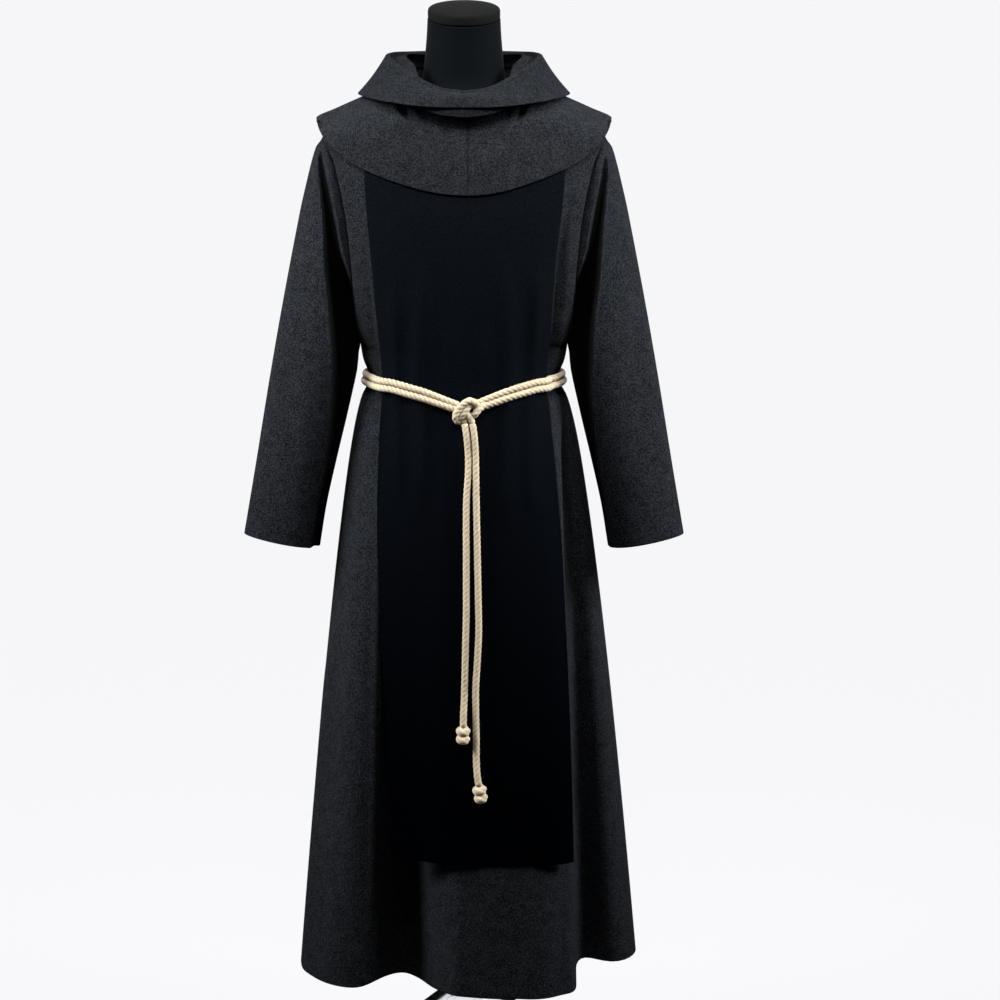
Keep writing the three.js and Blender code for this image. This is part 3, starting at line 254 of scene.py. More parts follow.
def tunic_point(turn, z):
    turn, z = np.broadcast_arrays(np.asarray(turn, float), np.asarray(z, float))
    belt = belt_z(turn)
    trunk = trunk_point(turn, np.maximum(z, belt))
    skirt = lerp(trunk_point(turn, belt), hem_point(turn), flare(turn, z)[..., None])
    spot = np.where((z >= belt)[..., None], trunk, skirt)
    spot[..., 2] = z
    return spot


def tunic_normal(turn, z, low=-9, high=9):
    """The tunic's outward normal, taken within one panel, from turn low to high, at an armhole."""
    step = 0.01
    rise = 0.002
    turn, z = np.broadcast_arrays(np.asarray(turn, float), np.asarray(z, float))
    beside_armhole = (z > UNDERARM_Z + 0.001) & (z < SHOULDER_Z - 0.001)
    before = np.where(beside_armhole, np.maximum(turn - step, low), turn - step)
    after = np.where(beside_armhole, np.minimum(turn + step, high), turn + step)
    across = tunic_point(after, z) - tunic_point(before, z)
    up = tunic_point(turn, np.minimum(z + rise, NECK_HOLE_Z)) - tunic_point(turn, z - rise)
    return unit(np.cross(across, up))


def crease_push(creases, across, height):
    """How far the cloth stands out at a place: its ridges less its troughs."""
    push = 0
    for crease in creases:
        fade = crease.get("fade", CREASE_FADE)
        middle = crease["at"] + crease["lean"] * (height - crease["foot"])
        begun = smooth_step(crease["foot"] - fade, crease["foot"], height)
        over = smooth_step(crease["top"], crease["top"] + fade, height)
        bell = np.exp(-(((across - middle) / crease["wide"]) ** 2))
        push = push + crease["push"] * begun * (1 - over) * bell
    return push


def tunic_cloth(turn, z, low=-9, high=9):
    """The tunic's outer face with its creases and the belt's pinch, and its normal there."""
    normal = tunic_normal(turn, z, low, high)
    from_middle = np.abs((wrap_turn(turn) + 1) % 2 - 1)
    pinch = BELT_PINCH * np.exp(-(((z - belt_z(turn)) / BELT_PINCH_REACH) ** 2))
    pinch = pinch * smooth_step(0.6, 0.78, from_middle)
    push = crease_push(tunic_creases, wrap_turn(turn), z) - pinch
    return tunic_point(turn, z) + normal * np.asarray(push)[..., None], normal


def neck_hole_z(turn):
    facing = np.cos(turn * QUARTER)
    dip = NECK_FRONT_DIP * np.maximum(0, facing) ** 2 + NECK_BACK_DIP * np.maximum(0, -facing) ** 2
    return NECK_HOLE_Z - dip


def tunic_heights(turn):
    """The heights of a panel's rows, from the hem to the neck, at each turn."""
    away = (turn - HEM_DRAWN_UP_AT) / HEM_DRAWN_UP_WIDE
    hem = HEM_Z + HEM_DRAWN_UP * np.exp(-(away**2))
    skirt = [lerp(hem, belt_z(turn), rise) for rise in np.linspace(0, 1, 104)]
    waist = [lerp(belt_z(turn), UNDERARM_Z, rise) for rise in np.linspace(0, 1, 8)[1:-1]]
    half_turns = np.linspace(0, math.pi, 36)
    chest = [lerp(UNDERARM_Z, SHOULDER_Z, (1 - math.cos(angle)) / 2) for angle in half_turns]
    shoulder = [lerp(SHOULDER_Z, neck_hole_z(turn), rise) for rise in np.linspace(0, 1, 12)[1:]]
    return np.array([np.broadcast_to(row, turn.shape) for row in (*skirt, *waist, *chest, *shoulder)])


def grid_normals(grid, closed=False):
    """Unit normals of a grid of points, on the left of its rows as they run."""
    if closed:
        across = np.roll(grid, -1, axis=1) - np.roll(grid, 1, axis=1)
    else:
        across = np.gradient(grid, axis=1)
    return unit(np.cross(across, np.gradient(grid, axis=0)))


def rounded_end(outer, inner, end):
    """Adds rows that round a cut edge off, so that it looks folded. end is 0 or -1."""
    step = 1 if end == 0 else -2
    middle, half = (outer[end] + inner[end]) / 2, (outer[end] - inner[end]) / 2
    away = unit(middle - (outer[step] + inner[step]) / 2)
    thick = np.linalg.norm(half, axis=-1, keepdims=True)
    outs, ins = [], []
    for angle in FOLDED_EDGE_ANGLES:
        out = away * thick * math.sin(angle)
        outs.append(middle + half * math.cos(angle) + out)
        ins.append(middle - half * math.cos(angle) + out)
    if end == 0:
        return np.concatenate([outs[::-1], outer]), np.concatenate([ins[::-1], inner])
    return np.concatenate([outer, outs]), np.concatenate([inner, ins])


def trimmed_sides(grid):
    """Moves the first and last columns towards their neighbours by half a seam."""
    grid = grid.copy()
    grid[:, 0] += unit(grid[:, 1] - grid[:, 0]) * SEAM / 2
    grid[:, -1] += unit(grid[:, -2] - grid[:, -1]) * SEAM / 2
    return grid


def cloth_shell(name, outer, inner, closed=False, round_rows=(), round_sides=False):
    """A closed shell of cloth between two grids, with a UV map in metres of cloth."""
    for end in round_rows:
        outer, inner = rounded_end(outer, inner, end)
    if round_sides:
        for end in (0, -1):
            outer, inner = (
                grid.swapaxes(0, 1) for grid in rounded_end(outer.swapaxes(0, 1), inner.swapaxes(0, 1), end)
            )
    rows, wide = outer.shape[:2]
    points = np.concatenate([outer.reshape(-1, 3), inner.reshape(-1, 3)])
    spans = wide if closed else wide - 1
    j, i = np.meshgrid(np.arange(rows - 1), np.arange(spans), indexing="ij")
    j, i = j.ravel(), i.ravel()
    corner_rows = np.stack([j, j, j + 1, j + 1], axis=1)
    corner_columns = np.stack([i, i + 1, i + 1, i], axis=1)

    def numbers(row, place, layer):
        return layer * rows * wide + row * wide + place % wide

    faces = [numbers(corner_rows, corner_columns, 0)]
    faces.append(numbers(corner_rows, corner_columns, 1)[:, ::-1])
    across = [(corner_rows, corner_columns), (corner_rows[:, ::-1], corner_columns[:, ::-1])]
    k = np.arange(spans)
    for row, order in ((0, (0, 1, 2, 3)), (rows - 1, (3, 2, 1, 0))):
        corners = ((k, 0), (k, 1), (k + 1, 1), (k + 1, 0))
        rim = np.stack([numbers(row, place, layer) for place, layer in corners], axis=1)
        faces.append(rim[:, order])
        flat = np.full((spans, 4), row)
        across.append((flat, np.stack([k, k, k + 1, k + 1], axis=1)[:, order]))
    if not closed:
        k = np.arange(rows - 1)
        for place, order in ((0, (0, 1, 2, 3)), (wide - 1, (3, 2, 1, 0))):
            corners = ((k, 0), (k + 1, 0), (k + 1, 1), (k, 1))
            rim = np.stack([numbers(row, place, layer) for row, layer in corners], axis=1)
            faces.append(rim[:, order])
            flat = np.full((rows - 1, 4), place)
            across.append((np.stack([k, k + 1, k + 1, k], axis=1)[:, order], flat))
    faces = np.concatenate(faces)
    a, b, c, d = (points[faces[:, n]] for n in range(4))
    volume = np.einsum("ij,ij->", a, np.cross(b, c)) + np.einsum("ij,ij->", a, np.cross(c, d))
    row_of = np.concatenate([pair[0] for pair in across])
    column_of = np.concatenate([pair[1] for pair in across])
    if volume < 0:
        faces, row_of, column_of = faces[:, ::-1], row_of[:, ::-1], column_of[:, ::-1]

    middle_row = outer[rows // 2]
    if closed:
        middle_row = np.concatenate([middle_row, middle_row[:1]])
    u = np.concatenate([[0], np.cumsum(np.linalg.norm(np.diff(middle_row, axis=0), axis=1))])
    v = np.concatenate([[0], np.cumsum(np.linalg.norm(np.diff(outer[:, wide // 2], axis=0), axis=1))])

    mesh = bpy.data.meshes.new(name)
    mesh.vertices.add(len(points))
    placed = points + np.array([0, AXIS_Y, 0])
    mesh.vertices.foreach_set("co", placed.astype(np.float32).ravel())
    mesh.loops.add(faces.size)
    mesh.loops.foreach_set("vertex_index", faces.astype(np.int32).ravel())
    mesh.polygons.add(len(faces))
    mesh.polygons.foreach_set("loop_start", np.arange(0, faces.size, 4, dtype=np.int32))
    mesh.update(calc_edges=True)
    uv = mesh.uv_layers.new(name="cloth")
    uv.data.foreach_set("uv", np.stack([u[column_of], v[row_of]], axis=-1).astype(np.float32).ravel())
    mesh.shade_smooth()
    mesh.set_sharp_from_angle(angle=SHARP_EDGE)
    mesh.validate()
    shell = bpy.data.objects.new(name, mesh)
    bpy.context.scene.collection.objects.link(shell)
    return shell


def node(tree, kind, place, inputs=None, **settings):
    """A shader node at a place, with its settings and the values of its inputs."""
    made = tree.nodes.new(kind)
    made.location = place
    for name, value in settings.items():
        setattr(made, name, value)
    for socket, value in (inputs or {}).items():
        made.inputs[socket].default_value = value
    return made


def surface_material(name, settings):
    """A material, its node tree and its surface, which has the settings given."""
    material = bpy.data.materials.new(name)
    material.use_nodes = True
    surface = material.node_tree.nodes["Principled BSDF"]
    for socket, value in settings.items():
        surface.inputs[socket].default_value = value
    return material, material.node_tree, surface


def colour_mix(tree, place, dark, light):
    return node(tree, "ShaderNodeMix", place, {6: (*dark, 1), 7: (*light, 1)}, data_type="RGBA")


def add_relief(tree, surface, height, strength, distance):
    bump = node(tree, "ShaderNodeBump", (-300, -250), {"Strength": strength, "Distance": distance})
    tree.links.new(height, bump.inputs["Height"])
    tree.links.new(bump.outputs["Normal"], surface.inputs["Normal"])


def heather_group():
    """Wool spun from lighter and darker fibres and milled: a fine speckle, and the nap's relief."""
    tree = bpy.data.node_groups.new("heather wool", "ShaderNodeTree")
    tree.interface.new_socket("Dark fibre", in_out="INPUT", socket_type="NodeSocketColor")
    tree.interface.new_socket("Light fibre", in_out="INPUT", socket_type="NodeSocketColor")
    tree.interface.new_socket("Colour", in_out="OUTPUT", socket_type="NodeSocketColor")
    tree.interface.new_socket("Relief", in_out="OUTPUT", socket_type="NodeSocketFloat")
    given = node(tree, "NodeGroupInput", (-900, 0))
    put_out = node(tree, "NodeGroupOutput", (700, 0))
    place = node(tree, "ShaderNodeTexCoord", (-900, -300))
    speckle_size = {"Scale": 420, "Detail": 3, "Roughness": 0.65}
    speckle = node(tree, "ShaderNodeTexNoise", (-650, 100), speckle_size)
    patches = node(tree, "ShaderNodeTexNoise", (-650, -200), {"Scale": 60, "Detail": 2})
    fibre = node(tree, "ShaderNodeTexNoise", (-650, -500), {"Scale": 1500, "Detail": 2})
    for texture in (speckle, patches, fibre):
        tree.links.new(place.outputs["Object"], texture.inputs["Vector"])
    contrast = node(tree, "ShaderNodeMapRange", (-400, 100), {"From Min": 0.40, "From Max": 0.80})
    tree.links.new(speckle.outputs["Fac"], contrast.inputs["Value"])
    drift = node(tree, "ShaderNodeMath", (-200, 0), {1: 0.35}, operation="MULTIPLY_ADD")
    tree.links.new(patches.outputs["Fac"], drift.inputs[0])
    tree.links.new(contrast.outputs["Result"], drift.inputs[2])
    shift = node(tree, "ShaderNodeMath", (0, 0), {1: 0.175}, operation="SUBTRACT", use_clamp=True)
    tree.links.new(drift.outputs[0], shift.inputs[0])
    mix = node(tree, "ShaderNodeMix", (250, 100), data_type="RGBA")
    tree.links.new(shift.outputs[0], mix.inputs["Factor"])
    tree.links.new(given.outputs["Dark fibre"], mix.inputs[6])
    tree.links.new(given.outputs["Light fibre"], mix.inputs[7])
    tree.links.new(mix.outputs[2], put_out.inputs["Colour"])
    relief = node(tree, "ShaderNodeMath", (250, -300), {1: 0.4}, operation="MULTIPLY_ADD")
    tree.links.new(fibre.outputs["Fac"], relief.inputs[0])
    tree.links.new(speckle.outputs["Fac"], relief.inputs[2])
    tree.links.new(relief.outputs[0], put_out.inputs["Relief"])
    return tree


heather = heather_group()


def wool_material(name, dark, light):
    """Heavy milled wool: no shine of its own, and a little sheen where the nap catches the light."""
    settings = {
        "Roughness": 0.95,
        "Specular IOR Level": 0,
        "Sheen Weight": 0.015,
        "Sheen Roughness": 0.5,
        "Sheen Tint": (0.7, 0.73, 0.78, 1),
    }
    material, tree, cloth = surface_material(name, settings)
    fibres = {"Dark fibre": (*dark, 1), "Light fibre": (*light, 1)}
    fleece = node(tree, "ShaderNodeGroup", (-500, 0), fibres, node_tree=heather)
    tree.links.new(fleece.outputs["Colour"], cloth.inputs["Base Color"])
    add_relief(tree, cloth, fleece.outputs["Relief"], 0.5, 0.0006)
    return material


tunic_wool = wool_material("tunic wool", (0.0045, 0.0049, 0.0060), (0.0335, 0.0370, 0.0432))


def tunic_panel(name, low, high):
    turn = np.linspace(low, high, 170)
    heights = tunic_heights(turn)
    outer, normal = tunic_cloth(turn[None, :], heights, low, high)
    inner = outer - normal * WOOL
    panel = cloth_shell(name, trimmed_sides(outer), trimmed_sides(inner), round_rows=(0, -1))
    panel.data.materials.append(tunic_wool)
    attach(panel, "root")
    return panel


front_panel = tunic_panel("tunic_front_panel", -1, 1)
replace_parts(front_panel, "tunic_front")
back_panel = tunic_panel("tunic_back_panel", 1 + SEAM_TURN, 3 - SEAM_TURN)
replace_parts(back_panel, "tunic_back")


# ---------------------------------------------------------------- sleeves
# Straight tapering tubes of the same wool, each with one seam under the arm, set in at the
# armhole. They hang empty, so the front drops in a flat panel and folds under on the inside.

SLEEVE_LEAN = 0.22

# A sleeve's outer and inner edges on the way down, then half its depth and where its middle lies.
sleeve_rails = [
    {"down": 0, "outer_x": 0.216, "outer_z": 1.484, "inner_x": 0.161, "inner_z": 1.150},
    {"down": 0.06, "outer_x": 0.231, "outer_z": 1.448, "inner_x": 0.1635, "inner_z": 1.137},
    {"down": 0.13, "outer_x": 0.246, "outer_z": 1.390, "inner_x": 0.165, "inner_z": 1.120},
    {"down": 0.22, "outer_x": 0.256, "outer_z": 1.345, "inner_x": 0.168, "inner_z": 1.100},
    {"down": 0.42, "outer_x": 0.283, "outer_z": 1.207, "inner_x": 0.184, "inner_z": 1.030},
    {"down": 0.6, "outer_x": 0.304, "outer_z": 1.090, "inner_x": 0.199, "inner_z": 0.968},
    {"down": 0.8, "outer_x": 0.325, "outer_z": 0.965, "inner_x": 0.215, "inner_z": 0.897},
    {"down": 1, "outer_x": 0.345, "outer_z": 0.850, "inner_x": 0.226, "inner_z": 0.830},
]
sleeve_depths = [
    {"down": 0, "depth": 0.072, "middle": 0.004},
    {"down": 0.06, "depth": 0.071, "middle": 0.003},
    {"down": 0.13, "depth": 0.068, "middle": 0.003},
    {"down": 0.22, "depth": 0.065, "middle": 0.002},
    {"down": 0.42, "depth": 0.058, "middle": 0},
    {"down": 0.6, "depth": 0.052, "middle": -0.002},
    {"down": 0.8, "depth": 0.046, "middle": -0.003},
    {"down": 1, "depth": 0.042, "middle": -0.004},
]

# The front of a sleeve folds under along a line that leaves the armhole under the cape and runs
# down to the inner edge. left and right are its angles, round the front from the outer edge.
sleeve_edges = [
    {"down": 0.030, "left": 12, "right": 20},
    {"down": 0.045, "left": 27, "right": 38},
    {"down": 0.068, "left": 53.5, "right": 60},
    {"down": 0.100, "left": 70, "right": 77},
    {"down": 0.200, "left": 91.5, "right": 101},
    {"down": 0.290, "left": 110, "right": 117},
    {"down": 0.415, "left": 125.5, "right": 134},
    {"down": 0.588, "left": 137.5, "right": 145},
    {"down": 0.790, "left": 142, "right": 156},
    {"down": 1.000, "left": 141, "right": 164},
]
EDGE_FOLD_DEPTH = 0.037
EDGE_FOLD_ANGLE = 12
EDGE_FOLD_EASE = 0.25
EDGE_RIDGE = 0.002
EDGE_RIDGE_ANGLE = 7
ARMHOLE_BAND = 0.032
SLEEVE_FOLD_FADE = 0.25
SET_IN_DEPTH = 0.019
SET_IN_WIDE = 0.018
SLEEVE_SIDES = 200

# Slack folds of a sleeve: ridges, and troughs where push is negative.
sleeve_folds = [
    {"angle": 58, "wide": 24, "from": 0.25, "to": 0.85, "push": -0.004},
    {"angle": 224, "wide": 16, "from": 0.0, "to": 0.7, "push": -0.016},
    {"angle": 260, "wide": 20, "from": 0.0, "to": 1.1, "push": 0.006},
    {"angle": 300, "wide": 16, "from": 0.1, "to": 0.6, "push": -0.005},
]


def past_edge(side, degrees, down):
    """How many degrees past the folded edge a place is, and how wide the flat armhole band is."""
    past = degrees - column(sleeve_edges, "down", "left" if side < 0 else "right", down)
    return past, ARMHOLE_BAND * (1 - smooth_step(88, 130, degrees))


def sleeve_push(side, degrees, down):
    """How far the cloth stands out from the plain tube, or in where this is negative."""
    past, band = past_edge(side, degrees, down)
    turned = 1 - (1 - np.clip(past / EDGE_FOLD_ANGLE, 0, 1)) ** 2
    back = 1 - smooth_step(165, 215, degrees)
    push = -EDGE_FOLD_DEPTH * turned * back * smooth_step(band - 0.004, band + 0.016, down)
    push = push * (1 - EDGE_FOLD_EASE * smooth_step(0.5, 1, down))
    push = push + EDGE_RIDGE * np.exp(-((past / EDGE_RIDGE_ANGLE) ** 2))
    for fold in sleeve_folds:
        begun = smooth_step(fold["from"], fold["from"] + SLEEVE_FOLD_FADE, down)
        over = smooth_step(fold["to"] - SLEEVE_FOLD_FADE, fold["to"], down)
        bell = np.exp(-(((degrees - fold["angle"]) / fold["wide"]) ** 2))
        push = push + fold["push"] * begun * (1 - over) * bell
    seam = -SET_IN_DEPTH * np.exp(-((down / SET_IN_WIDE) ** 2))
    return push * smooth_step(0, 0.03, down) + seam


def tucked_under(side, degrees, down):
    """How far round a fold the cloth is: nothing on the front of a sleeve, one on its underside. It masks
    the painted shade on the underside.
    """
    past, band = past_edge(side, degrees, down)
    under = smooth_step(0, EDGE_RIDGE_ANGLE, past) * (1 - smooth_step(170, 200, degrees))
    return under * smooth_step(band, band + 0.02, down)


def sleeve_point(side, angle, down):
    """A point of a sleeve: angle 0 is its outer edge, a quarter its front, half its inner edge."""
    outer_x, outer_z, inner_x, inner_z = (
        column(sleeve_rails, "down", name, down)
        for name in ("outer_x", "outer_z", "inner_x", "inner_z")
    )
    depth, middle = (column(sleeve_depths, "down", name, down) for name in ("depth", "middle"))
    to_outer = (1 + np.cos(angle)) / 2
    x, z = lerp(inner_x, outer_x, to_outer), lerp(inner_z, outer_z, to_outer)
    seam = column(trunk_levels, "z", "side", np.clip(z, UNDERARM_Z, SHOULDER_Z)) + SEAM
    at_head = 1 - smooth_step(0, 0.05, down)
    lean = 1 - SLEEVE_LEAN * np.cos(angle) * smooth_step(0, 0.25, down)
    push = sleeve_push(side, np.degrees(angle), down)
    y = middle - (depth + push) * lean * np.sin(angle)
    return point(side * lerp(x, seam, at_head), y, z)


# The sleeve's wool is the tunic's, painted near black on the underside past the folded edge: painted shade
# standing in for the fold's shadow.
sleeve_wool = tunic_wool.copy()
sleeve_wool.name = "sleeve wool with painted shade"
sleeve_tree = sleeve_wool.node_tree
under_side = node(sleeve_tree, "ShaderNodeAttribute", (-900, 300), attribute_name="tucked")
painted_under_shade = {7: (0.0008, 0.0008, 0.0009, 1)}
sleeve_mix = node(sleeve_tree, "ShaderNodeMix", (-200, 300), painted_under_shade, data_type="RGBA")
sleeve_colour = sleeve_tree.nodes["Principled BSDF"].inputs["Base Color"]
sleeve_tree.links.new(under_side.outputs["Fac"], sleeve_mix.inputs["Factor"])
sleeve_tree.links.new(sleeve_tree.nodes["Group"].outputs["Colour"], sleeve_mix.inputs[6])
sleeve_tree.links.new(sleeve_mix.outputs[2], sleeve_colour)


def sleeve(name, side, node_name):
    angle = np.linspace(0, 2 * math.pi, SLEEVE_SIDES, endpoint=False)
    down = np.concatenate([np.linspace(0, 0.12, 34), np.linspace(0.12, 1, 110)[1:]])
    outer = sleeve_point(side, angle[None, ::side], down[:, None])
    normal = grid_normals(outer, closed=True)
    normal[0, :, 0] = 0
    normal[0] = unit(normal[0])
    ring = len(outer) // 2
    outwards = np.sign(np.dot(outer[ring, 0] - outer[ring].mean(axis=0), normal[ring, 0]))
    inner = outer - normal * WOOL * outwards
    tube = cloth_shell(name, outer, inner, closed=True, round_rows=(-1,))
    # The share of painted shade at each place: the underside past the fold is painted near black.
    under = tucked_under(side, np.degrees(angle)[None, ::side], down[:, None])
    rim_rows = len(tube.data.vertices) // (2 * SLEEVE_SIDES) - len(under)
    under = np.concatenate([under, np.repeat(under[-1:], rim_rows, axis=0)])
    tucked = tube.data.attributes.new("tucked", "FLOAT", "POINT")
    tucked.data.foreach_set("value", np.tile(under.ravel(), 2).astype(np.float32))
    tube.data.materials.append(sleeve_wool)
    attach(tube, "root")
    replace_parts(tube, node_name)


sleeve("left_sleeve", -1, "sleeve_left")
sleeve("right_sleeve", 1, "sleeve_right")


# ---------------------------------------------------------------- scapular, front and back
# Two straight strips of fine blue-black twill, joined at the shoulders, that lie over the tunic
# and hang free below the belt. Their side edges and hems are turned and pressed flat.

SERGE = 0.0014
LAYER = 0.001
SCAPULAR_GAP = LAYER + SERGE
SHOULDER_LIFT = 0.0033
BRIDGE = 0.024
CLOSE = 0.004
EASE_OFF = 0.0006

# How far each strip reaches from the centre line on its left and right at each height, and then
# where it hangs at the hem.
scapular_front_edges = [
    {"z": 0.352, "left": 0.113, "right": 0.171},
    {"z": 0.545, "left": 0.119, "right": 0.1655},
    {"z": 0.716, "left": 0.129, "right": 0.158},
    {"z": 0.850, "left": 0.134, "right": 0.151},
    {"z": 0.960, "left": 0.133, "right": 0.142},
    {"z": 1.060, "left": 0.128, "right": 0.132},
    {"z": 1.100, "left": 0.125, "right": 0.130},
    {"z": 1.130, "left": 0.127, "right": 0.130},
    {"z": 1.250, "left": 0.138, "right": 0.138},
    {"z": 1.430, "left": 0.151, "right": 0.153},
    {"z": 1.550, "left": 0.152, "right": 0.154},
]
scapular_back_edges = [
    {"z": 0.352, "left": 0.156, "right": 0.154},
    {"z": 0.700, "left": 0.148, "right": 0.147},
    {"z": 1.000, "left": 0.132, "right": 0.132},
    {"z": 1.092, "left": 0.124, "right": 0.124},
    {"z": 1.250, "left": 0.138, "right": 0.138},
    {"z": 1.430, "left": 0.150, "right": 0.150},
    {"z": 1.550, "left": 0.152, "right": 0.152},
]
scapular_front_hang = [
    {"x": -0.116, "y": -0.136},
    {"x": -0.076, "y": -0.147},
    {"x": -0.050, "y": -0.158},
    {"x": -0.030, "y": -0.166},
    {"x": -0.005, "y": -0.170},
    {"x": 0.030, "y": -0.172},
    {"x": 0.076, "y": -0.170},
    {"x": 0.127, "y": -0.162},
    {"x": 0.172, "y": -0.138},
]
scapular_back_hang = [
    {"x": -0.158, "y": 0.176},
    {"x": -0.104, "y": 0.204},
    {"x": -0.040, "y": 0.192},
    {"x": 0.024, "y": 0.198},
    {"x": 0.084, "y": 0.205},
    {"x": 0.156, "y": 0.178},
]
front_strip = {"facing": -1, "middle": 0, "hem": 0.358}
front_strip["edges"] = scapular_front_edges
front_strip["hang"] = scapular_front_hang
back_strip = {"facing": 1, "middle": 2, "hem": 0.352}
back_strip["edges"] = scapular_back_edges
back_strip["hang"] = scapular_back_hang

# Soft folds drawn up and down from the belt, each a ridge beside the place where the cloth is
# held in. at is metres across.
front_strip["creases"] = [
    {"at": -0.104, "lean": -0.03, "foot": 1.11, "top": 1.20, "wide": 0.011, "push": 0.0045, "fade": 0.07},
    {"at": -0.070, "lean": 0.05, "foot": 1.11, "top": 1.22, "wide": 0.014, "push": 0.0045, "fade": 0.08},
    {"at": 0.070, "lean": -0.05, "foot": 1.11, "top": 1.24, "wide": 0.014, "push": 0.0050, "fade": 0.08},
    {"at": 0.106, "lean": 0.05, "foot": 1.11, "top": 1.24, "wide": 0.011, "push": 0.0050, "fade": 0.07},
    {"at": -0.022, "lean": 0.02, "foot": 1.10, "top": 1.15, "wide": 0.012, "push": 0.0030, "fade": 0.06},
    {"at": 0.034, "lean": 0.02, "foot": 1.10, "top": 1.14, "wide": 0.012, "push": 0.0030, "fade": 0.06},
    {"at": -0.102, "lean": 0.0, "foot": 0.98, "top": 1.06, "wide": 0.010, "push": 0.0040, "fade": 0.06},
    {"at": -0.066, "lean": 0.05, "foot": 0.96, "top": 1.06, "wide": 0.013, "push": 0.0040, "fade": 0.08},
    {"at": 0.066, "lean": 0.0, "foot": 0.94, "top": 1.06, "wide": 0.013, "push": 0.0045, "fade": 0.08},
    {"at": 0.104, "lean": -0.05, "foot": 0.94, "top": 1.06, "wide": 0.010, "push": 0.0040, "fade": 0.06},
]
back_strip["creases"] = [
    {"at": -0.086, "lean": -0.02, "foot": 1.11, "top": 1.20, "wide": 0.012, "push": 0.0045, "fade": 0.07},
    {"at": -0.046, "lean": 0.03, "foot": 1.11, "top": 1.19, "wide": 0.013, "push": 0.0040, "fade": 0.08},
    {"at": 0.072, "lean": 0.02, "foot": 1.11, "top": 1.22, "wide": 0.013, "push": 0.0050, "fade": 0.07},
    {"at": 0.020, "lean": -0.02, "foot": 1.11, "top": 1.16, "wide": 0.012, "push": 0.0030, "fade": 0.06},
    {"at": -0.060, "lean": 0.02, "foot": 0.95, "top": 1.05, "wide": 0.013, "push": 0.0040, "fade": 0.08},
    {"at": 0.046, "lean": 0.0, "foot": 0.97, "top": 1.05, "wide": 0.012, "push": 0.0035, "fade": 0.08},
]


def smoothed(values, passes):
    """Averages a grid of numbers with their neighbours along both of its directions."""
    for _ in range(passes):
        for axis in (0, 1):
            edge = np.concatenate([values.take([0], axis), values, values.take([-1], axis)], axis)
            before = edge.take(range(0, edge.shape[axis] - 2), axis)
            after = edge.take(range(2, edge.shape[axis]), axis)
            values = (before + 2 * values + after) / 4
    return values


def tunic_reach(facing, x, z, strip):
    """How far forwards, or backwards, the tunic reaches beside each place of a grid."""
    turn = (0 if facing < 0 else 2) + np.linspace(-1, 1, 481)
    reach = np.zeros(x.shape)
    for j in range(x.shape[0]):
        ring = tunic_cloth(turn, z[j, 0])[0]
        beside = np.abs(ring[None, :, 0] - x[j][:, None]) < np.broadcast_to(strip, x.shape)[j][:, None]
        reach[j] = np.where(beside, facing * ring[None, :, 1], 0).max(axis=1)
    return reach


def scapular_edge(strip, share, z):
    to_right = share * -strip["facing"] > 0
    left, right = (column(strip["edges"], "z", name, z) for name in ("left", "right"))
    return np.where(to_right, right, -left)


def scapular_turn(strip, share, z):
    side = column(trunk_levels, "z", "side", np.clip(z, BELT_SIDE_Z, NECK_HOLE_Z))
    limit = np.arcsin(np.minimum(1, np.abs(scapular_edge(strip, share, z)) / side)) / QUARTER
    return strip["middle"] + share * limit * (1 - SEAM_TURN)


def scapular_hang(strip, share, down):
    """The outer face of a strip where it hangs free below the belt, before its creases."""
    facing, middle = strip["facing"], strip["middle"]
    middle_belt = belt_z(middle)
    turn = scapular_turn(strip, share, middle_belt)
    belt = tunic_point(turn, belt_z(turn))
    z = lerp(middle_belt, strip["hem"], down)
    to_side = np.where(share == 0, 1e-9, share)
    x = belt[..., 0] / scapular_edge(strip, to_side, middle_belt) * scapular_edge(strip, to_side, z)
    drape = flare(middle, z) / flare(middle, strip["hem"])
    free = facing * lerp(belt[..., 1], column(strip["hang"], "x", "y", x), drape)
    height = np.broadcast_to(z, x.shape)
    hung = smoothed(np.maximum(free, tunic_reach(facing, x, height, CLOSE + BRIDGE * drape)), 6)
    clear = smoothed(tunic_reach(facing, x, height, CLOSE), 2) + EASE_OFF
    return x, facing * (np.maximum(hung, clear) + SCAPULAR_GAP), z


def scapular_over_chest(strip, share, level, rise):
    """Where a strip lies on the chest at a level, or over the shoulder at a rise."""
    z = level
    for _ in range(3):
        z = lerp(level, neck_hole_z(scapular_turn(strip, share, z)), rise)
    return scapular_turn(strip, share, z), z


